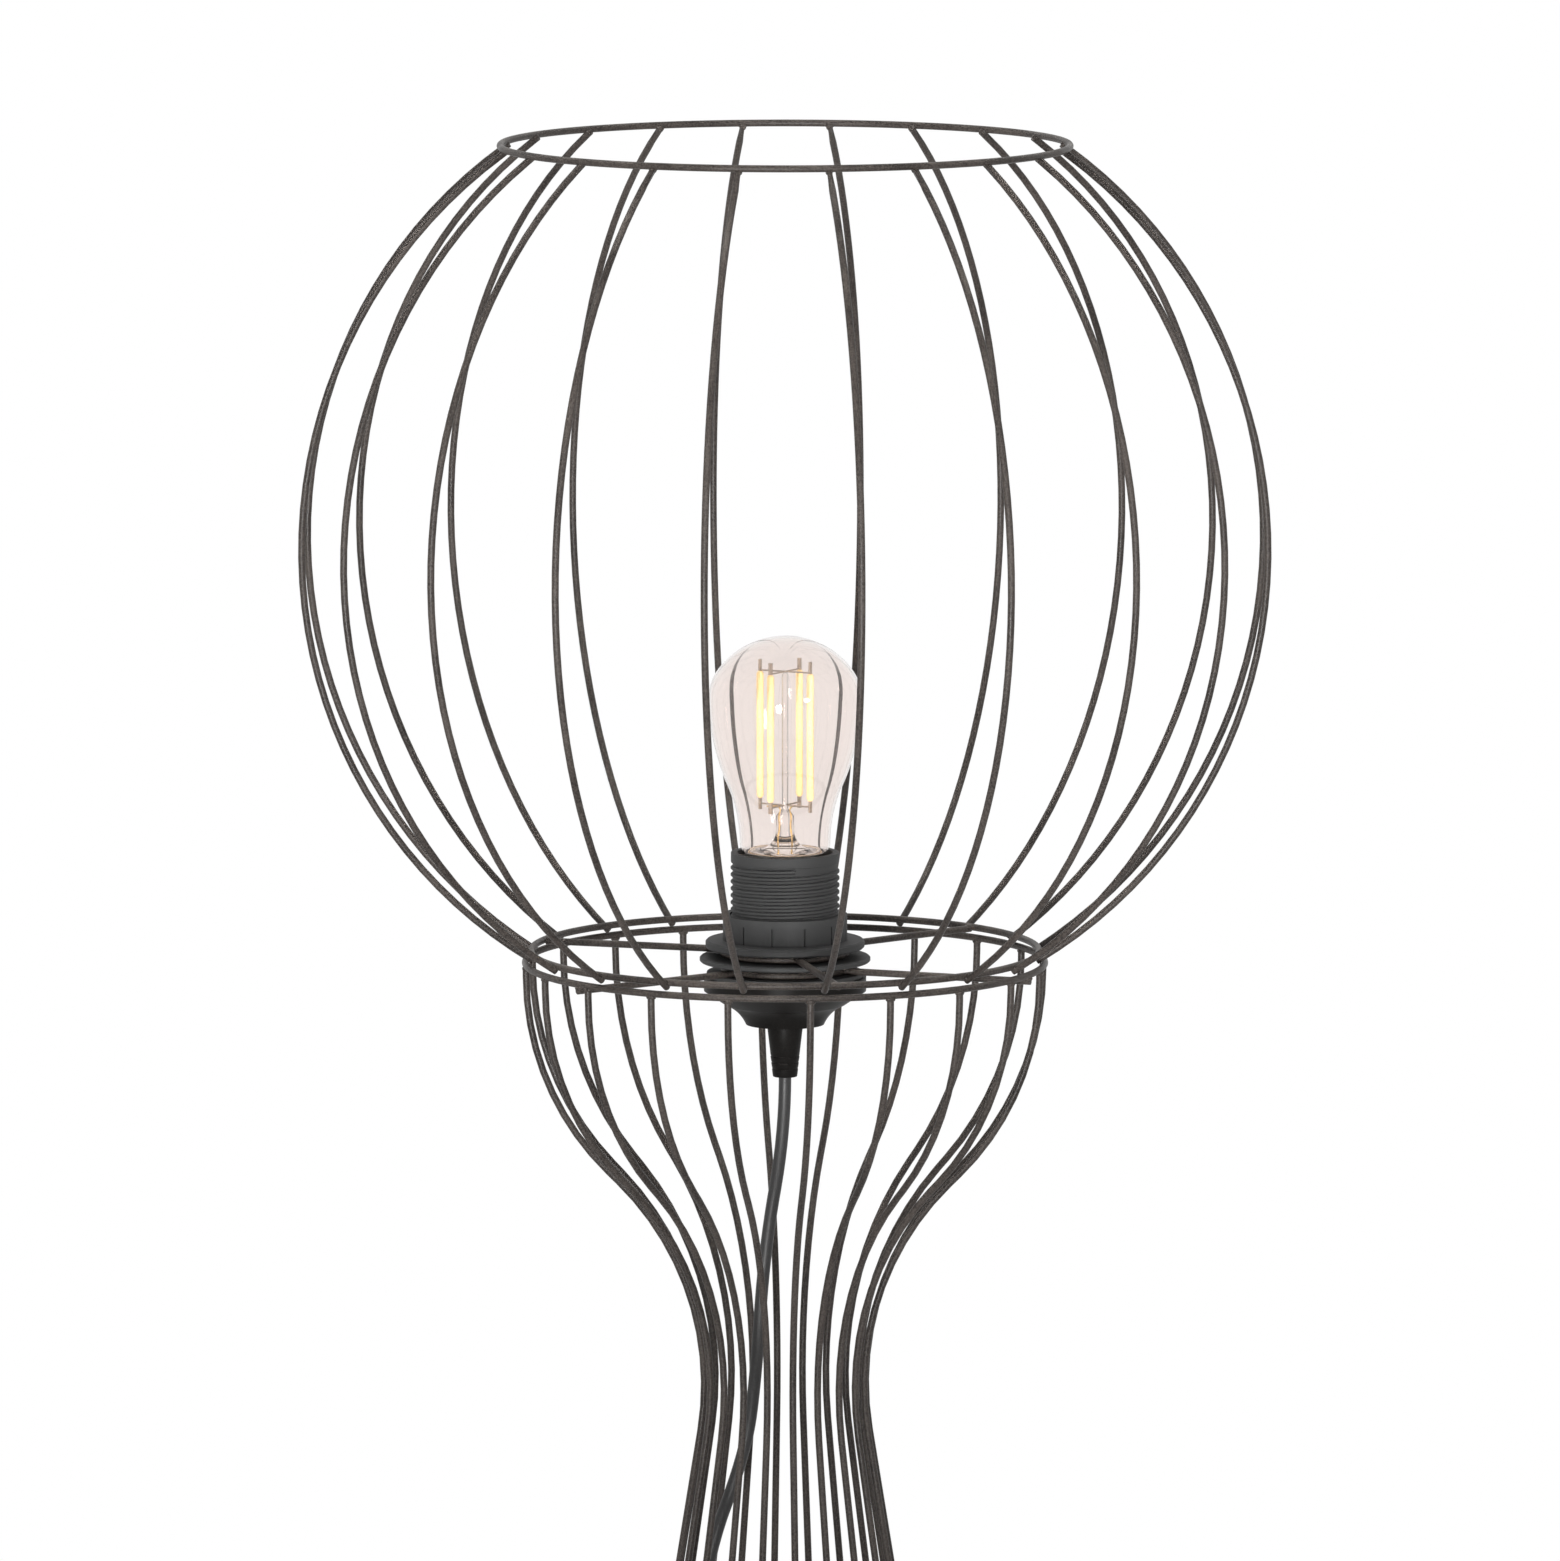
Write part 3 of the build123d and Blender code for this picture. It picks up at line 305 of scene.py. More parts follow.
@dataclass(frozen=True)
class ClearGlass:
    """A clear glass, lightly tinted, with the faint unevenness of blown or pressed glass."""

    name: str
    tint: Point
    ior: float = 1.46
    roughness: float = 0.0
    wave_scale: float = 45.0
    wave_mm: float = 0.25
    wave_strength: float = 0.15

    def material(self) -> bpy.types.Material:
        """Returns this glass's material, which is made once.

        Returns:
            The material.
        """
        made = bpy.data.materials.get(self.name)
        if made:
            return made
        made = bpy.data.materials.new(self.name)
        made.use_nodes = True
        tree = made.node_tree
        shader = tree.nodes["Principled BSDF"]
        shader.inputs["Base Color"].default_value = (*self.tint, 1.0)
        shader.inputs["Roughness"].default_value = self.roughness
        shader.inputs["IOR"].default_value = self.ior
        shader.inputs["Transmission Weight"].default_value = 1.0
        place = tree.nodes.new("ShaderNodeTexCoord").outputs["Object"]
        bump = tree.nodes.new("ShaderNodeBump")
        bump.inputs["Strength"].default_value = self.wave_strength
        bump.inputs["Distance"].default_value = self.wave_mm * MM
        tree.links.new(noise(tree, place, self.wave_scale, 1.0), bump.inputs["Height"])
        tree.links.new(bump.outputs["Normal"], shader.inputs["Normal"])
        clear = tree.nodes.new("ShaderNodeBsdfTransparent")
        clear.inputs["Color"].default_value = (*self.tint, 1.0)
        mix = tree.nodes.new("ShaderNodeMixShader")
        output = tree.nodes["Material Output"]
        tree.links.new(tree.nodes.new("ShaderNodeLightPath").outputs["Is Shadow Ray"], mix.inputs[0])
        tree.links.new(shader.outputs[0], mix.inputs[1])
        tree.links.new(clear.outputs[0], mix.inputs[2])
        tree.links.new(mix.outputs[0], output.inputs["Surface"])
        return made


POWDER_COAT = Finish(
    "wire_powder_coat", (0.016, 0.013, 0.0115), (0.062, 0.052, 0.046), (0.36, 0.54),
    fine_scale=1500.0, bump_mm=0.12, bump_strength=0.6, dust=0.3, specular=0.2,
)
HOLDER_PLASTIC = Finish(
    "holder_plastic", (0.008, 0.0075, 0.0072), (0.017, 0.016, 0.0152), (0.22, 0.34),
    fine_scale=2600.0, bump_mm=0.03, bump_strength=0.25, dust=0.2, specular=0.22,
)
# A darker, duller copy of the holder's plastic for the cap and grip: its low specular level and darker
# tones partly paint in the shade that falls under the holder.
CAP_PLASTIC = Finish(
    "cap_plastic", (0.006, 0.0055, 0.005), (0.012, 0.011, 0.0105), (0.36, 0.5),
    fine_scale=2600.0, bump_mm=0.03, bump_strength=0.2, dust=0.1, specular=0.05,
)
CORE_PLASTIC = Finish("core_plastic", (0.02, 0.02, 0.02), (0.04, 0.038, 0.036), (0.5, 0.65))
GLIDE_PLASTIC = Finish("glide_plastic", (0.014, 0.014, 0.014), (0.028, 0.028, 0.028), (0.5, 0.7))
CORD_SHEATH = Finish(
    "cord_sheath", (0.011, 0.011, 0.011), (0.022, 0.021, 0.021), (0.42, 0.56),
    fine_scale=1500.0, bump_mm=0.03, dust=0.3,
)
SOFT_RUBBER = Finish("soft_rubber", (0.012, 0.012, 0.012), (0.024, 0.023, 0.023), (0.5, 0.66), dust=0.3)
SWITCH_PLASTIC = Finish(
    "switch_plastic", (0.013, 0.013, 0.014), (0.022, 0.022, 0.022), (0.22, 0.36),
    bump_mm=0.02, bump_strength=0.2, dust=0.35,
)
TIE_CLOTH = Finish(
    "tie_cloth", (0.010, 0.010, 0.010), (0.035, 0.034, 0.034), (0.8, 0.95),
    fine_scale=1300.0, bump_mm=0.25, bump_strength=0.8,
)
BRASS = Finish("pressed_brass", (0.62, 0.44, 0.19), (0.80, 0.60, 0.30), (0.22, 0.38), metallic=1.0)
NICKEL = Finish("nickel_sheet", (0.52, 0.50, 0.46), (0.68, 0.66, 0.61), (0.18, 0.34), metallic=1.0)
STEEL = Finish("plated_steel", (0.42, 0.42, 0.41), (0.58, 0.58, 0.57), (0.25, 0.4), metallic=1.0)
SUPPORT_WIRE = Finish("support_wire", (0.34, 0.29, 0.24), (0.50, 0.44, 0.37), (0.35, 0.5), metallic=0.7)
LEAD_WIRE = Finish("lead_wire", (0.62, 0.42, 0.16), (0.80, 0.60, 0.30), (0.25, 0.4), metallic=1.0)
CEMENT = Finish("cap_cement", (0.62, 0.50, 0.36), (0.78, 0.68, 0.52), (0.6, 0.8), bump_mm=0.15)
BOARD = Finish("driver_board", (0.42, 0.40, 0.32), (0.58, 0.56, 0.48), (0.45, 0.6))
CONDUCTOR_COVER = Finish("conductor_cover", (0.06, 0.028, 0.012), (0.09, 0.045, 0.02), (0.35, 0.5))
# The phosphor's yellow is its own colour; its faint glow is painted light that brightens the filaments
# inside the glass.
PHOSPHOR = Finish(
    "filament_phosphor", (0.90, 0.66, 0.27), (0.96, 0.80, 0.46), (0.4, 0.55),
    fine_scale=1800.0, bump_mm=0.08, painted_glow=0.12,
)
BULB_GLASS = ClearGlass("blown_bulb_glass", (0.93, 0.875, 0.85))
STEM_GLASS = ClearGlass("pressed_stem_glass", (0.98, 0.96, 0.94), ior=1.2, wave_scale=160.0)


# --- Ways of making meshes -----------------------------------------------------------------------
def arc(start: complex, heading: complex, end: complex, steps: int) -> list[complex]:
    """Works out an arc that leaves a point in a given direction and ends at another.

    Args:
        start: the first point, as radius + height * 1j.
        heading: the direction in which the arc leaves it, a unit number.
        end: the last point.
        steps: how many pieces the arc is cut into.
    Returns:
        The arc's points, both ends included.
    """
    chord = end - start
    half_turn = cmath.phase(chord / heading)
    reach = abs(chord) / sin(half_turn)
    return [
        start + reach * sin(step / steps * half_turn) * heading * cmath.exp(1j * step / steps * half_turn)
        for step in range(steps + 1)
    ]


def lathe(outline: Outline, closed: bool = True, steps: int = 96) -> bmesh.types.BMesh:
    """Turns an outline round the Z axis.

    Args:
        outline: (radius, height) points in millimetres.
        closed: whether the outline's ends are joined. One that starts and ends on the axis isn't closed.
        steps: how many pieces the full turn has.
    Returns:
        The turned mesh, with its faces outwards.
    """
    bm = bmesh.new()
    verts = [bm.verts.new((radius * MM, 0, height * MM)) for radius, height in outline]
    ends = verts[1:] + verts[:1] if closed else verts[1:]
    edges = [bm.edges.new(pair) for pair in zip(verts, ends)]
    bmesh.ops.spin(
        bm, geom=verts + edges, cent=(0, 0, 0), axis=(0, 0, 1), dvec=(0, 0, 0),
        angle=FULL_TURN, steps=steps, use_merge=True, use_duplicate=False,
    )
    bmesh.ops.remove_doubles(bm, verts=bm.verts, dist=WELD_DISTANCE)
    bmesh.ops.dissolve_degenerate(bm, dist=WELD_DISTANCE, edges=bm.edges)
    bmesh.ops.recalc_face_normals(bm, faces=bm.faces)
    return bm


def soften(bm: bmesh.types.BMesh, width: float, angle: float = 35.0, segments: int = 2) -> None:
    """Rounds a mesh's sharp edges.

    Args:
        bm: the mesh.
        width: how wide the rounding is, in millimetres.
        angle: the least angle, in degrees, at which an edge counts as sharp.
        segments: how many faces the rounding has.
    """
    sharp = [
        edge for edge in bm.edges
        if len(edge.link_faces) == 2 and edge.calc_face_angle() > radians(angle)
    ]
    bmesh.ops.bevel(
        bm, geom=sharp, offset=width * MM, offset_type="OFFSET", segments=segments,
        profile=0.5, affect="EDGES", clamp_overlap=True, material=-1,
    )


def place_copies(template: bmesh.types.BMesh, places: list[Matrix]) -> bmesh.types.BMesh:
    """Puts a copy of a mesh at each of several places.

    Args:
        template: the mesh to copy, which is freed.
        places: the transform of each copy.
    Returns:
        One mesh with all the copies.
    """
    stored = bpy.data.meshes.new("template")
    template.to_mesh(stored)
    template.free()
    bm = bmesh.new()
    for place in places:
        known = len(bm.verts)
        bm.from_mesh(stored)
        bm.verts.ensure_lookup_table()
        bmesh.ops.transform(bm, matrix=place, verts=bm.verts[known:])
    bpy.data.meshes.remove(stored)
    return bm


def round_places(radius: float, height: float, azimuth: float, count: int) -> list[Matrix]:
    """Works out evenly spaced places round the lamp's axis, each turned to face outwards along its X.

    Args:
        radius: how far from the axis they lie, in millimetres.
        height: their height in millimetres.
        azimuth: the first one's azimuth in degrees, counted from the front towards +X.
        count: how many there are.
    Returns:
        One transform for each.
    """
    return [
        Matrix.Rotation(radians(azimuth - 90) + FULL_TURN * place / count, 4, "Z")
        @ Matrix.Translation((radius * MM, 0, height * MM))
        for place in range(count)
    ]


def finish_mesh(
    name: str, bm: bmesh.types.BMesh, finish: Finish | ClearGlass, body: Body,
    replaces: tuple[str, ...] = (), sharp_angle: float = 32.0,
) -> bpy.types.Object:
    """Makes a piece of a mesh and dresses it.

    Args:
        name: the piece's name.
        bm: its mesh, which is freed.
        finish: what it is finished with.
        body: the body that it rides on.
        replaces: the nodes that it stands for.
        sharp_angle: edges sharper than this, in degrees, stay sharp in the shading.
    Returns:
        The piece.
    """
    mesh = bpy.data.meshes.new(name)
    bm.to_mesh(mesh)
    bm.free()
    mesh.shade_smooth()
    mesh.set_sharp_from_angle(angle=radians(sharp_angle))
    mesh.materials.append(finish.material())
    piece = bpy.data.objects.new(name, mesh)
    bpy.context.scene.collection.objects.link(piece)
    settle(piece, body, replaces)
    log.info("%s: %d faces", name, len(mesh.polygons))
    return piece


def settle(piece: bpy.types.Object, body: Body, replaces: tuple[str, ...] = ()) -> None:
    """Hangs a piece on its body and hides the nodes that it stands for."""
    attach(piece, body.value)
    if replaces:
        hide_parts(*replaces)


def dress(finish: Finish | ClearGlass, *nodes: str) -> None:
    """Gives nodes of the frame a finish.

    Args:
        finish: the finish.
        nodes: the names of the nodes.
    """
    for node in nodes:
        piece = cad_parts[node]
        if not piece.material_slots:
            piece.data.materials.append(finish.material())
        for place in piece.material_slots:
            place.material = finish.material()
        log.info("%s: %s", node, finish.name)


def draw_curve(
    name: str, points: list[Point], radius: float, finish: Finish, body: Body,
    replaces: tuple[str, ...] = (),
) -> bpy.types.Object:
    """Draws a round smooth line whose control points are given.

    Args:
        name: the piece's name.
        points: the control points in millimetres.
        radius: the line's radius in millimetres.
        finish: what it is finished with.
        body: the body that it rides on.
        replaces: the nodes that it stands for.
    Returns:
        The piece, a curve of one spline.
    """
    curve = bpy.data.curves.new(name, "CURVE")
    curve.dimensions = "3D"
    curve.bevel_depth = radius * MM
    curve.bevel_resolution = 5
    curve.resolution_u = 8
    curve.use_fill_caps = True
    spline = curve.splines.new("NURBS")
    spline.points.add(len(points) - 1)
    for control, (x, y, z) in zip(spline.points, points):
        control.co = (x * MM, y * MM, z * MM, 1.0)
    spline.order_u = 3
    spline.use_endpoint_u = True
    curve.materials.append(finish.material())
    piece = bpy.data.objects.new(name, curve)
    bpy.context.scene.collection.objects.link(piece)
    settle(piece, body, replaces)
    log.info("%s: %d points", name, len(points))
    return piece


# --- Studio --------------------------------------------------------------------------------------
@dataclass
class Studio:
    """The pale floor, the soft lights, the white surroundings and the camera."""

    camera_place: Point = (-0.0018, -4.7732, 1.7342)
    camera_pitch: float = 0.1276
    lens: float = 311.45
    sensor: float = 36.0
    floor_r: float = 3.2
    floor_fade: float = 1.9
    floor_tone: float = 0.86
    floor_roughness: float = 0.9
    floor_specular: float = 0.1
    ambient_below: float = 0.08
    ambient_above: float = 0.80
    ambient_low: float = -0.3
    ambient_high: float = 0.7
    aim_height: float = 1.28

    def build(self) -> None:
        """Builds the whole studio."""
        self.set_camera()
        self.lay_floor()
        self.light_world()
        self.hang_lamp("key", (-0.6, -3.8, 0.75), 0.6, 2.3, spread=16.0)
        self.hang_lamp("fill", (2.0, -3.1, 1.7), 0.7, 0.3, spread=20.0)
        self.hang_lamp("top", (-0.5, -0.3, 3.6), 1.4, 22.0, mirrored=False)
        self.hang_lamp("rear", (0.9, 2.9, 2.3), 1.4, 22.0, mirrored=False)
        bpy.context.scene.view_settings.view_transform = "Standard"
        log.info("studio: floor, world, lights and camera")

    def set_camera(self) -> None:
        """Puts the camera where the photograph was taken from."""
        data = bpy.data.cameras.new("camera")
        data.sensor_fit = "HORIZONTAL"
        data.sensor_width = self.sensor
        data.lens = self.lens
        data.clip_end = 60.0
        camera = bpy.data.objects.new("camera", data)
        camera.location = self.camera_place
        camera.rotation_euler = (pi / 2 - self.camera_pitch, 0, 0)
        bpy.context.scene.collection.objects.link(camera)
        bpy.context.scene.camera = camera

    def lay_floor(self) -> None:
        """Lays a round pale floor that fades out into the white surroundings."""
        bm = bmesh.new()
        bmesh.ops.create_circle(bm, cap_ends=True, segments=96, radius=self.floor_r)
        mesh = bpy.data.meshes.new("floor")
        bm.to_mesh(mesh)
        bm.free()
        made = bpy.data.materials.new("pale_floor")
        made.use_nodes = True
        tree = made.node_tree
        shader = tree.nodes["Principled BSDF"]
        shader.inputs["Base Color"].default_value = (self.floor_tone, self.floor_tone, self.floor_tone, 1.0)
        shader.inputs["Roughness"].default_value = self.floor_roughness
        shader.inputs["Specular IOR Level"].default_value = self.floor_specular
        place = tree.nodes.new("ShaderNodeTexCoord").outputs["Object"]
        length = tree.nodes.new("ShaderNodeVectorMath")
        length.operation = "LENGTH"
        tree.links.new(place, length.inputs[0])
        shown = tree.nodes.new("ShaderNodeMapRange")
        shown.interpolation_type = "SMOOTHSTEP"
        shown.inputs["From Min"].default_value = self.floor_r - self.floor_fade
        shown.inputs["From Max"].default_value = self.floor_r
        shown.inputs["To Min"].default_value = 1.0
        shown.inputs["To Max"].default_value = 0.0
        tree.links.new(length.outputs["Value"], shown.inputs["Value"])
        tree.links.new(shown.outputs["Result"], shader.inputs["Alpha"])
        mesh.materials.append(made)
        floor = bpy.data.objects.new("floor", mesh)
        bpy.context.scene.collection.objects.link(floor)

    def light_world(self) -> None:
        """Makes the surroundings white to the eye, and to matt surfaces brighter above than below."""
        world = bpy.data.worlds.new("white_surroundings")
        bpy.context.scene.world = world
        world.use_nodes = True
        tree = world.node_tree
        background = tree.nodes["Background"]
        background.inputs["Color"].default_value = (1.0, 1.0, 1.0, 1.0)
        rays = tree.nodes.new("ShaderNodeLightPath")
        seen = rays.outputs["Is Camera Ray"]
        for label in ("Is Glossy Ray", "Is Transmission Ray"):
            either = tree.nodes.new("ShaderNodeMath")
            either.operation = "MAXIMUM"
            tree.links.new(seen, either.inputs[0])
            tree.links.new(rays.outputs[label], either.inputs[1])
            seen = either.outputs[0]
        heading = tree.nodes.new("ShaderNodeSeparateXYZ")
        tree.links.new(tree.nodes.new("ShaderNodeTexCoord").outputs["Generated"], heading.inputs[0])
        ambient = tree.nodes.new("ShaderNodeMapRange")
        ambient.inputs["From Min"].default_value = self.ambient_low
        ambient.inputs["From Max"].default_value = self.ambient_high
        ambient.inputs["To Min"].default_value = self.ambient_below
        ambient.inputs["To Max"].default_value = self.ambient_above
        tree.links.new(heading.outputs["Z"], ambient.inputs["Value"])
        strength = tree.nodes.new("ShaderNodeMapRange")
        strength.inputs["To Max"].default_value = 1.0
        tree.links.new(ambient.outputs["Result"], strength.inputs["To Min"])
        tree.links.new(seen, strength.inputs["Value"])
        tree.links.new(strength.outputs["Result"], background.inputs["Strength"])

    def hang_lamp(
        self, name: str, place: Point, size: float, power: float, spread: float = 180.0,
        mirrored: bool = True,
    ) -> None:
        """Hangs a round soft lamp that looks at the shade's upper half.

        Args:
            name: the lamp's name.
            place: where it hangs, in metres.
            size: its diameter in metres.
            power: its power in watts.
            spread: how wide its beam is, in degrees.
            mirrored: whether it can be seen in shiny surfaces and through glass.
        """
        data = bpy.data.lights.new(name, "AREA")
        data.shape = "DISK"
        data.size = size
        data.energy = power
        data.spread = radians(spread)
        lamp = bpy.data.objects.new(name, data)
        lamp.location = place
        lamp.visible_glossy = mirrored
        lamp.visible_transmission = mirrored
        aim = Vector((0, 0, self.aim_height)) - Vector(place)
        lamp.rotation_euler = aim.to_track_quat("-Z", "Y").to_euler()
        bpy.context.scene.collection.objects.link(lamp)


# --- Wire cages ----------------------------------------------------------------------------------
@dataclass
class WireCages:
    """The shade's and the base's wires, with the welds that join them."""

    wire_r: float = 1.25
    weld_offset: float = 1.5
    rib_count: int = 20
    shade_azimuth: float = 8.75
    base_azimuth: float = 5.5
    spoke_count: int = 3
    shade_spoke_azimuth: float = 12.0
    base_spoke_azimuth: float = 68.5
    globe_z: float = 1206.33
    bead_size: tuple[float, float, float] = (1.5, 1.9, 1.15)

    def build(self) -> None:
        """Dresses the wires and adds the weld beads."""
        dress(
            POWDER_COAT,
            "shade_top_hoop", "shade_ribs", "shade_neck_hoop", "shade_spokes", "shade_hub_hoop",
            "base_top_hoop", "base_ribs", "base_spokes", "base_hub_hoop", "floor_hoop",
        )
        dress(GLIDE_PLASTIC, "floor_glides")
        self.weld("shade_welds", self.shade_places())
        self.weld("base_welds", self.base_places())

    def hoop(self, node: str) -> tuple[float, float]:
        """Gives the radius and height of a hoop's centre line, in millimetres."""
        low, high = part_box(node)
        return high[0] / MM - self.wire_r, (low[2] + high[2]) / 2 / MM

    def shade_places(self) -> list[Matrix]:
        """Places the shade's welds: its ribs on two hoops, and its spokes on two."""
        places = []
        for node, side in (("shade_top_hoop", -1), ("shade_neck_hoop", 1)):
            radius, height = self.hoop(node)
            reach = hypot(radius, height - self.globe_z)
            share = 1 + side * self.weld_offset / 2 / reach
            lift = self.globe_z + (height - self.globe_z) * share
            places += round_places(radius * share, lift, self.shade_azimuth, self.rib_count)
        neck_r, neck_z = self.hoop("shade_neck_hoop")
        hub_r, hub_z = self.hoop("shade_hub_hoop")
        for radius, height in ((neck_r - self.wire_r, neck_z), (hub_r + self.wire_r, hub_z)):
            places += round_places(radius, height, self.shade_spoke_azimuth, self.spoke_count)
        return places

    def base_places(self) -> list[Matrix]:
        """Places the base's welds: its ribs on two hoops, and its spokes on two."""
        top_r, top_z = self.hoop("base_top_hoop")
        hub_r, hub_z = self.hoop("base_hub_hoop")
        floor_r, floor_z = self.hoop("floor_hoop")
        return [
            *round_places(top_r, top_z - self.wire_r, self.base_azimuth, self.rib_count),
            *round_places(floor_r, floor_z + self.wire_r, self.base_azimuth, self.rib_count),
            *round_places(top_r, top_z - self.wire_r, self.base_spoke_azimuth, self.spoke_count),
            *round_places(hub_r + self.wire_r, hub_z, self.base_spoke_azimuth, self.spoke_count),
        ]

    def weld(self, name: str, places: list[Matrix]) -> None:
        """Puts a small flattened bead of weld at each place.

        Args:
            name: the piece's name.
            places: where the beads lie.
        """
        bead = bmesh.new()
        bmesh.ops.create_icosphere(bead, subdivisions=2, radius=MM)
        bmesh.ops.scale(bead, vec=self.bead_size, verts=bead.verts)
        finish_mesh(name, place_copies(bead, places), POWDER_COAT, Body.LAMP)


# --- Lampholder ----------------------------------------------------------------------------------
@dataclass
class Lampholder:
    """The threaded lampholder with its ring nuts, cap and cord grip."""

    crest_r: float = 19.45
    thread_depth: float = 0.7
    pitch: float = 2.5
    bore_r: float = 17.0
    lip_height: float = 3.6
    spigot_height: float = 4.0
    spigot_r: float = 26.7
    spigot_wall: float = 2.4
    shoulder_r: float = 28.0
    shoulder_thickness: float = 1.75
    ridge_width: float = 1.75
    ridge_crest: float = 0.6
    ridge_steps: int = 72
    ridge_sink: float = 0.2
    lip_step: float = 0.1
    edge: float = 0.22
    grip_end_r: float = 4.35
    grip_top_r: float = 6.5
    grip_neck_r: float = 5.0
    grip_flange_r: float = 8.0
    grip_floor: float = 2.0
    groove_count: int = 3
    groove_start: float = 0.16
    groove_step: float = 0.12
    groove_half_width: float = 0.35
    groove_depth: float = 0.25

    def build(self) -> None:
        """Builds the sleeve and the cord grip, and dresses the rest."""
        dress(HOLDER_PLASTIC, "upper_ring_nut", "lower_ring_nut")
        dress(CAP_PLASTIC, "holder_cap")
        dress(CORE_PLASTIC, "holder_core")
        dress(BRASS, "screw_shell", "centre_contact", "terminals")
        dress(STEEL, "terminal_screws")
        dress(CONDUCTOR_COVER, "conductors")
        self.build_sleeve()
        self.build_grip()

    def build_sleeve(self) -> None:
        """Turns the sleeve and winds its thread round it as one true helix."""
        low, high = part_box("holder_sleeve")
        mouth, foot = high[2] / MM, low[2] / MM
        rim = foot + self.spigot_height
        shoulder = rim + self.shoulder_thickness
        root_r = self.crest_r - self.thread_depth
        lip = mouth - self.lip_height
        bm = lathe([
            (self.bore_r, mouth),
            (self.bore_r, rim),
            (self.spigot_r - self.spigot_wall, rim),
            (self.spigot_r - self.spigot_wall, foot),
            (self.spigot_r, foot),
            (self.spigot_r, rim),
            (self.shoulder_r, rim),
            (self.shoulder_r, shoulder),
            (root_r, shoulder),
            (root_r, lip),
            (self.crest_r - self.lip_step, lip),
            (self.crest_r - self.lip_step, mouth),
        ])
        soften(bm, self.edge)
        finish_mesh(
            "sleeve_tube", bm, HOLDER_PLASTIC, Body.LAMP, ("holder_sleeve",)
        )
        self.wind_thread(shoulder + self.pitch / 2, lip - self.pitch / 2, root_r)

    def wind_thread(self, start: float, end: float, root_r: float) -> None:
        """Winds the ridge of the thread from one height up to another.

        Args:
            start: the height of the ridge's middle where it starts, in millimetres.
            end: the height of its middle where it ends.
            root_r: the radius that it stands on.
        """
        turns = (end - start) / self.pitch
        steps = int(turns * self.ridge_steps)
        bm = bmesh.new()
        sunk_r = root_r - self.ridge_sink
        section = (
            (sunk_r, -self.ridge_width / 2),
            (root_r, -self.ridge_width / 2),
            (self.crest_r, -self.ridge_crest / 2),
            (self.crest_r, self.ridge_crest / 2),
            (root_r, self.ridge_width / 2),
            (sunk_r, self.ridge_width / 2),
        )
        verts = [bm.verts.new((radius * MM, 0, (start + lift) * MM)) for radius, lift in section]
        face = bm.faces.new(verts)
        bmesh.ops.spin(
            bm, geom=[face, *face.edges, *verts], cent=(0, 0, 0), axis=(0, 0, 1),
            dvec=(0, 0, (end - start) * MM / steps), angle=FULL_TURN * turns, steps=steps,
            use_duplicate=False,
        )
        bmesh.ops.recalc_face_normals(bm, faces=bm.faces)
        finish_mesh(
            "sleeve_thread", bm, HOLDER_PLASTIC, Body.LAMP, sharp_angle=50.0
        )

    def build_grip(self) -> None:
        """Turns the tapered cord grip, with shallow grooves round its nose."""
        low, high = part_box("cord_grip")
        end, top = low[2] / MM, high[2] / MM
        cap_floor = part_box("holder_cap")[0][2] / MM
        flange = cap_floor + self.grip_floor
        length = cap_floor - end
        slope = (self.grip_top_r - self.grip_end_r) / length
        outline: Outline = [(0, end), (self.grip_end_r, end)]
        for groove in range(self.groove_count):
            height = end + length * (self.groove_start + self.groove_step * groove)
            radius = self.grip_end_r + slope * (height - end)
            outline += [
                (radius, height - self.groove_half_width),
                (radius - self.groove_depth, height),
                (radius, height + self.groove_half_width),
            ]
        outline += [
            (self.grip_top_r, cap_floor),
            (self.grip_neck_r, cap_floor),
            (self.grip_neck_r, flange),
            (self.grip_flange_r, flange),
            (self.grip_flange_r, top),
            (0, top),
        ]
        bm = lathe(outline, closed=False, steps=64)
        soften(bm, 0.3, angle=50.0)
        finish_mesh("grip_nose", bm, CAP_PLASTIC, Body.LAMP, ("cord_grip",))


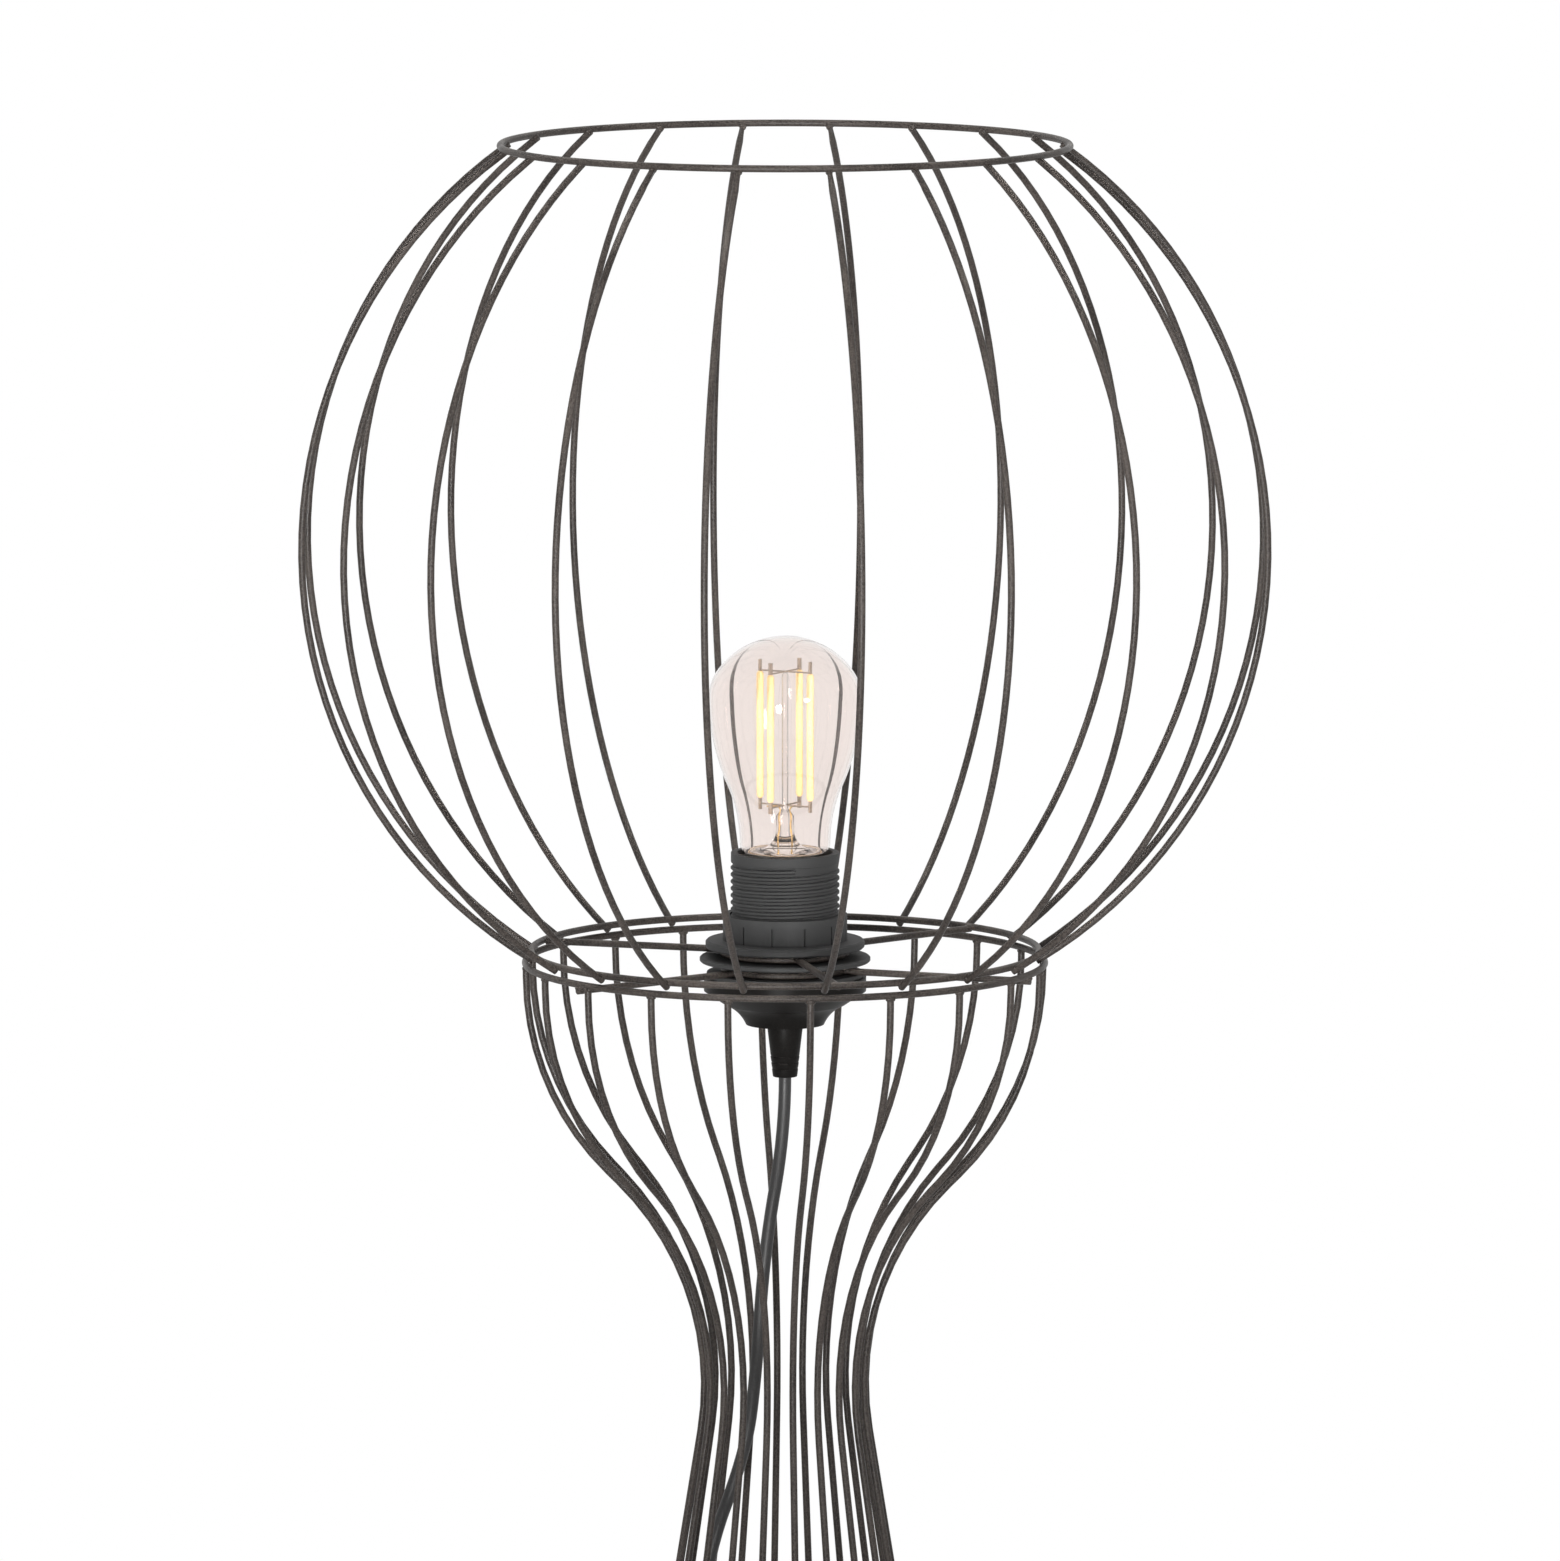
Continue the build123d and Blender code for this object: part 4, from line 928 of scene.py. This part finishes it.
# --- Bulb ----------------------------------------------------------------------------------------
@dataclass
class Bulb:
    """The filament bulb. Its heights are in millimetres above the shade's spider."""

    wall: float = 0.8
    foot_r: float = 14.2
    foot: float = 36.0
    neck_r: float = 16.2
    neck: float = 39.0
    cheek: float = 60.5
    widest_r: float = 27.3
    widest: float = 91.3
    shoulder_r: float = 17.0
    top: float = 113.5
    arc_steps: int = 14
    stem_flare_r: float = 12.6
    stem_r: float = 3.2
    rod_r: float = 1.1
    lead_r: float = 0.28
    lead_reach: float = 0.62
    filament_r: float = 1.3
    filament_taper: float = 0.9
    ring_r: float = 10.3
    azimuth: float = 60.0
    count: int = 4
    base_z: float = field(init=False)

    def __post_init__(self) -> None:
        """Finds the height of the shade's spider from the sleeve's mouth."""
        self.base_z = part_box("holder_sleeve")[1][2] / MM - self.foot

    def build(self) -> None:
        """Builds the glass, the stem, its wires and the filaments, and dresses the rest."""
        dress(NICKEL, "bulb_cap", "bulb_tip_contact")
        dress(CORE_PLASTIC, "bulb_cap_insulator")
        dress(SUPPORT_WIRE, "filament_tabs", "filament_supports")
        dress(BOARD, "bulb_driver")
        self.blow_glass()
        self.press_stem()
        self.coat_filaments()
        self.run_leads()
        self.pour_cement()

    def profile(self, inset: float) -> Outline:
        """Works out the glass's outline from foot to crown.

        Args:
            inset: how far inside the outer face it lies.
        Returns:
            The outline's points.
        """
        lift = self.base_z * 1j
        neck = self.neck_r - inset + self.neck * 1j + lift
        widest = self.widest_r - inset + self.widest * 1j + lift
        share = (self.cheek - self.neck) / (self.widest - self.neck)
        cheek = neck.real + share * (widest.real - neck.real) + self.cheek * 1j + lift
        top = (self.top - inset) * 1j + lift
        rise = top.imag - widest.imag
        shoulder = self.shoulder_r - inset
        shoulder_x = widest.real - shoulder
        crown = (shoulder_x**2 + rise**2 - shoulder**2) / (2 * (rise - shoulder))
        reach = crown / (crown - shoulder)
        meeting = shoulder_x * reach + (top.imag - crown + (crown - rise) * reach) * 1j
        foot = self.foot_r - inset + self.foot * 1j + lift
        steps = self.arc_steps
        points = [
            *reversed(arc(neck, -1j, foot, steps // 2)),
            *arc(neck, 1j, cheek, steps)[1:],
            *list(reversed(arc(widest, -1j, cheek, steps)))[1:],
            *arc(widest, 1j, meeting, steps)[1:],
            *list(reversed(arc(top, 1, meeting, steps)))[1:],
        ]
        return [(max(point.real, 0.0), point.imag) for point in points]

    def blow_glass(self) -> None:
        """Turns the glass with its inner and outer face."""
        outline = [*reversed(self.profile(0)), *self.profile(self.wall)]
        bm = lathe(outline, closed=False, steps=128)
        finish_mesh("bulb_envelope", bm, BULB_GLASS, Body.BULB, ("bulb_glass",), 60.0)

    def press_stem(self) -> None:
        """Turns the stem: a flared foot, a pinched top and the thin rod that holds the filaments."""
        low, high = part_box("bulb_stem")
        foot, top = low[2] / MM, high[2] / MM
        flare = arc(self.stem_r + (foot + 8.0) * 1j, -1j, self.stem_flare_r + (foot + 1.2) * 1j, 10)
        outline = [
            (0, foot),
            (self.stem_flare_r, foot),
            *[(point.real, point.imag) for point in reversed(flare)],
            (self.stem_r, foot + 13.0),
            (self.stem_r * 0.75, foot + 14.2),
            (self.rod_r, foot + 15.6),
            (self.rod_r, top - 0.8),
            (self.rod_r * 0.6, top - 0.15),
            (0, top),
        ]
        bm = lathe(outline, closed=False, steps=48)
        finish_mesh("stem_glass", bm, STEM_GLASS, Body.BULB, ("bulb_stem",), 60.0)

    def coat_filaments(self) -> None:
        """Turns one filament with rounded ends and copies it round the rod."""
        low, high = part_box("bulb_filaments")
        foot, top = low[2] / MM, high[2] / MM
        end_r = self.filament_r * 0.55
        outline = [
            (0, foot),
            (end_r, foot),
            (self.filament_r, foot + self.filament_taper),
            (self.filament_r, top - self.filament_taper),
            (end_r, top),
            (0, top),
        ]
        bm = lathe(outline, closed=False, steps=20)
        places = round_places(self.ring_r, 0, self.azimuth, self.count)
        bm = place_copies(bm, places)
        finish_mesh("filament_rods", bm, PHOSPHOR, Body.BULB, ("bulb_filaments",), 50.0)

    def run_leads(self) -> None:
        """Runs the two bright lead wires up through the stem to the filaments' lower tabs."""
        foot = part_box("bulb_stem")[0][2] / MM
        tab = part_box("bulb_filaments")[0][2] / MM - 2.1
        for side in (-1, 1):
            reach = side * self.ring_r * self.lead_reach
            points = [
                (side * 2.1, 0.2, foot + 0.6),
                (side * 2.3, -0.2, foot + 4.5),
                (side * 1.5, 0.3, foot + 9.0),
                (side * 2.0, -0.3, foot + 12.5),
                (side * 1.4, 0.4, foot + 15.0),
                (side * 2.4, 0.1, foot + 16.6),
                (reach * 0.7, -0.8, tab - 0.3),
                (reach, -3.2, tab),
            ]
            name = "lead_wire_left" if side < 0 else "lead_wire_right"
            draw_curve(name, points, self.lead_r, LEAD_WIRE, Body.BULB)

    def pour_cement(self) -> None:
        """Lays the pale ring of cement that shows where the glass meets its screw cap."""
        foot = self.base_z + self.foot
        bore_r = self.foot_r - self.wall
        ring = [
            (bore_r - 1.7, foot + 0.05),
            (bore_r - 0.15, foot + 0.05),
            (bore_r - 0.15, foot + 0.5),
            (bore_r - 1.0, foot + 0.35),
        ]
        finish_mesh("cement_ring", lathe(ring), CEMENT, Body.BULB)


# --- Cord ----------------------------------------------------------------------------------------
@dataclass
class Cord:
    """The cord in two runs: from the grip to the foot switch, and from there by the coil to the plug."""

    radius: float = 2.25
    axis_z: float = 8.5
    switch_y: float = 237.0
    coil_x: float = 92.0
    coil_inner_r: float = 18.1
    coil_step: float = 5.9
    coil_low_z: float = 3.05
    coil_high_z: float = 8.75
    half_turns_in: int = 6
    half_turns_out: int = 5
    points_per_half_turn: int = 8
    drop_length: float = 1.179
    run_length: float = 1.135

    def build(self) -> None:
        grip_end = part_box("cord_grip")[0][2] / MM
        drop_points = [
            (0, 0, grip_end), (0, 0, 995), (-7.3, 1.5, 953), (-10.5, 4, 905), (-14, 7, 878),
            (-28.5, 11, 838), (-34, 15, 786), (-39, 23, 730), (-44, 32, 672), (-49, 42, 612),
            (-53.5, 52, 552), (-57.5, 62, 490), (-61, 71.5, 430), (-64, 80.5, 370),
            (-66.5, 89.5, 308), (-68.5, 97.5, 248), (-70.2, 104.5, 190), (-71.5, 110, 135),
            (-73, 114, 88), (-75.2, 118, 54), (-79.5, 124.8, 31), (-88, 138.2, 15),
            (-98.8, 155.1, 13), (-109.5, 172, 5), (-114, 190, self.radius),
            (-110, 210, self.radius), (-97, 226, self.radius), (-78, 235, 3.2),
            (-58, self.switch_y, self.axis_z), (-40, self.switch_y, self.axis_z),
        ]
        drop = draw_curve(
            "cord_to_switch", drop_points, self.radius, CORD_SHEATH, Body.LAMP, ("cord_drop",)
        )
        lead = [
            (50, self.switch_y, self.axis_z), (62, self.switch_y, self.axis_z),
            (76, self.switch_y, self.coil_low_z), (87.5, self.switch_y, self.coil_low_z),
        ]
        tail = [
            (96.5, 234.05, self.coil_high_z), (112, 234.05, self.coil_high_z), (138, 232.5, 7.9),
            (163, 225, 7.2), (182.5, 210, 6.9), (191, 196, 6.85), (191, 181, 6.85),
        ]
        run = draw_curve(
            "cord_to_plug", [*lead, *self.wind(), *tail], self.radius, CORD_SHEATH, Body.LAMP,
            ("cord_lead", "cord_coil", "cord_tail"),
        )

    def wind(self) -> list[Point]:
        """Works out the coil's control points: flat half turns in, a climb, and half turns out.

        Returns:
            The points in millimetres.
        """
        outer_r = self.coil_inner_r + self.half_turns_in * self.coil_step / 2
        middle_y = self.switch_y - outer_r
        lower = [
            (outer_r - turn * self.coil_step / 2, self.coil_low_z)
            for turn in range(self.half_turns_in + 1)
        ]
        upper = [
            (self.coil_inner_r + turn * self.coil_step / 2, self.coil_high_z)
            for turn in range(self.half_turns_out + 1)
        ]
        meets = lower + upper
        points = []
        count = self.points_per_half_turn
        for turn, ((start_r, start_z), (end_r, end_z)) in enumerate(zip(meets, meets[1:])):
            side = (-1) ** turn
            radius = (start_r + end_r) / 2
            centre_y = middle_y + side * (start_r - end_r) / 2
            stretch = radius / (0.75 + 0.25 * cos(pi / count))
            for place in range(count):
                share = (place + 0.5) / count
                angle = share * pi
                points.append((
                    self.coil_x + side * stretch * sin(angle),
                    centre_y + side * stretch * cos(angle),
                    start_z + (end_z - start_z) * share,
                ))
        return points


# --- Foot switch, tie and plug -------------------------------------------------------------------
@dataclass
class FootSwitch:
    """The round foot switch on the cord."""

    centre: tuple[float, float] = (5.0, 237.0)
    axis_z: float = 8.5
    body_r: float = 31.0
    button_travel: float = 4.0
    relief_length: float = 14.0
    relief_root_r: float = 4.4
    relief_end_r: float = 3.2
    relief_ribs: int = 5
    ring_radii: tuple[float, ...] = (4.0, 7.0, 10.0)

    def build(self) -> None:
        """Dresses the switch and adds its button's rings and its ribbed strain reliefs."""
        dress(SWITCH_PLASTIC, "switch_base", "switch_cover", "switch_button")
        dress(BRASS, "switch_bridge", "switch_contacts")
        dress(STEEL, "switch_spring", "switch_screws")
        dress(SOFT_RUBBER, "switch_reliefs")
        self.press_spring()
        self.ring_button()
        self.rib_reliefs()

    def at_centre(self) -> Matrix:
        """Gives the transform from the Z axis to the switch's middle."""
        return Matrix.Translation((self.centre[0] * MM, self.centre[1] * MM, 0))

    def press_spring(self) -> None:
        """Lets the spring shorten under the button as it goes down."""
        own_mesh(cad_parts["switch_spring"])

    def ring_button(self) -> None:
        """Turns the low rings that keep a foot from slipping off the button."""
        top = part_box("switch_button")[1][2] / MM
        rings = bmesh.new()
        for radius in self.ring_radii:
            ring = lathe([
                (radius - 0.55, top - 0.4), (radius + 0.55, top - 0.4),
                (radius + 0.3, top - 0.02), (radius - 0.3, top - 0.02),
            ], steps=72)
            stored = bpy.data.meshes.new("ring")
            ring.to_mesh(stored)
            ring.free()
            rings.from_mesh(stored)
            bpy.data.meshes.remove(stored)
        bmesh.ops.transform(rings, matrix=self.at_centre(), verts=rings.verts)
        finish_mesh("button_rings", rings, SWITCH_PLASTIC, Body.BUTTON)

    def rib_reliefs(self) -> None:
        """Turns the soft ribs round the two strain reliefs."""
        ribs = []
        for side in (-1, 1):
            for rib in range(self.relief_ribs):
                share = (rib + 0.7) / (self.relief_ribs + 0.4)
                radius = self.relief_root_r + (self.relief_end_r - self.relief_root_r) * share
                reach = side * (self.body_r + self.relief_length * share)
                place = Vector((self.centre[0] + reach, self.centre[1], self.axis_z)) * MM
                ribs.append(
                    Matrix.Translation(place)
                    @ Matrix.Rotation(pi / 2, 4, "Y")
                    @ Matrix.Diagonal((radius, radius, 1.0, 1.0))
                )
        template = lathe([(0.7, -0.75), (1.0, -0.75), (1.16, 0), (1.0, 0.75), (0.7, 0.75)], steps=40)
        finish_mesh(
            "relief_ribs", place_copies(template, ribs), SOFT_RUBBER, Body.LAMP,
            sharp_angle=60.0,
        )


@dataclass
class Plug:
    """The flat two-pin plug and its strain relief."""

    x: float = 191.0
    rear_y: float = 163.0
    relief_length: float = 18.0
    relief_ribs: int = 6
    root_r: float = 5.0
    end_r: float = 3.2
    middle_z: float = 6.85
    pin_r: float = 2.0
    pin_spacing: float = 18.6
    pin_sleeve_length: float = 10.0
    pin_sleeve_wall: float = 0.12
    pin_sleeve_sink: float = 0.2
    pin_sleeve_taper: float = 0.3
    rear_width: float = 13.0
    width: float = 35.0
    flank_length: float = 23.0
    grip_ribs: int = 5
    grip_size: tuple[float, float, float] = (1.1, 1.3, 9.4)

    def build(self) -> None:
        """Dresses the plug and adds its finger grips, the relief's ribs and the pins' sleeves."""
        dress(SWITCH_PLASTIC, "plug_body")
        dress(NICKEL, "plug_pins")
        dress(SOFT_RUBBER, "plug_relief")
        dress(TIE_CLOTH, "coil_tie")
        self.rib_flanks()
        self.rib_relief()
        self.sleeve_pins()

    def rib_flanks(self) -> None:
        """Stands low finger ribs on the plug's two slanting flanks."""
        narrowing = (self.width - self.rear_width) / 2
        slant = atan2(narrowing, self.flank_length)
        bar = bmesh.new()
        bmesh.ops.create_cube(bar, size=MM)
        bmesh.ops.scale(bar, vec=self.grip_size, verts=bar.verts)
        soften(bar, 0.35, segments=3)
        places = []
        for side in (-1, 1):
            for rib in range(self.grip_ribs):
                share = (rib + 0.75) / (self.grip_ribs + 0.5)
                x = self.x + side * (self.rear_width / 2 + narrowing * share)
                y = self.rear_y - self.flank_length * share
                place = Matrix.Translation((x * MM, y * MM, self.middle_z * MM))
                places.append(place @ Matrix.Rotation(side * slant, 4, "Z"))
        finish_mesh(
            "plug_grips", place_copies(bar, places), SWITCH_PLASTIC, Body.LAMP
        )

    def rib_relief(self) -> None:
        """Turns the soft ribs round the plug's strain relief."""
        ribs = []
        for rib in range(self.relief_ribs):
            share = (rib + 0.6) / (self.relief_ribs + 0.3)
            radius = self.root_r + (self.end_r - self.root_r) * share
            place = Vector((self.x, self.rear_y + self.relief_length * share, self.middle_z)) * MM
            ribs.append(
                Matrix.Translation(place)
                @ Matrix.Rotation(pi / 2, 4, "X")
                @ Matrix.Diagonal((radius, radius, 1.0, 1.0))
            )
        template = lathe([(0.7, -0.8), (1.0, -0.8), (1.14, 0), (1.0, 0.8), (0.7, 0.8)], steps=40)
        finish_mesh(
            "plug_ribs", place_copies(template, ribs), SOFT_RUBBER, Body.LAMP, sharp_angle=60.0
        )

    def sleeve_pins(self) -> None:
        """Turns the insulating sleeves on the pins' roots."""
        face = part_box("plug_body")[0][1] / MM
        places = [
            Matrix.Translation(Vector((self.x + side * self.pin_spacing / 2, face, self.middle_z)) * MM)
            @ Matrix.Rotation(pi / 2, 4, "X")
            for side in (-1, 1)
        ]
        inner = self.pin_r - self.pin_sleeve_sink
        outer = self.pin_r + self.pin_sleeve_wall
        length = self.pin_sleeve_length
        outline = [
            (inner, 0),
            (outer, 0),
            (outer, length - self.pin_sleeve_taper),
            (self.pin_r, length),
            (inner, length),
        ]
        finish_mesh(
            "pin_sleeves", place_copies(lathe(outline, steps=40), places), SWITCH_PLASTIC, Body.LAMP,
        )


def main() -> None:
    """Builds the studio and every part of the lamp."""
    Studio().build()
    Cord().build()
    WireCages().build()
    Lampholder().build()
    Bulb().build()
    FootSwitch().build()
    Plug().build()


if __name__ == "__main__":
    main()
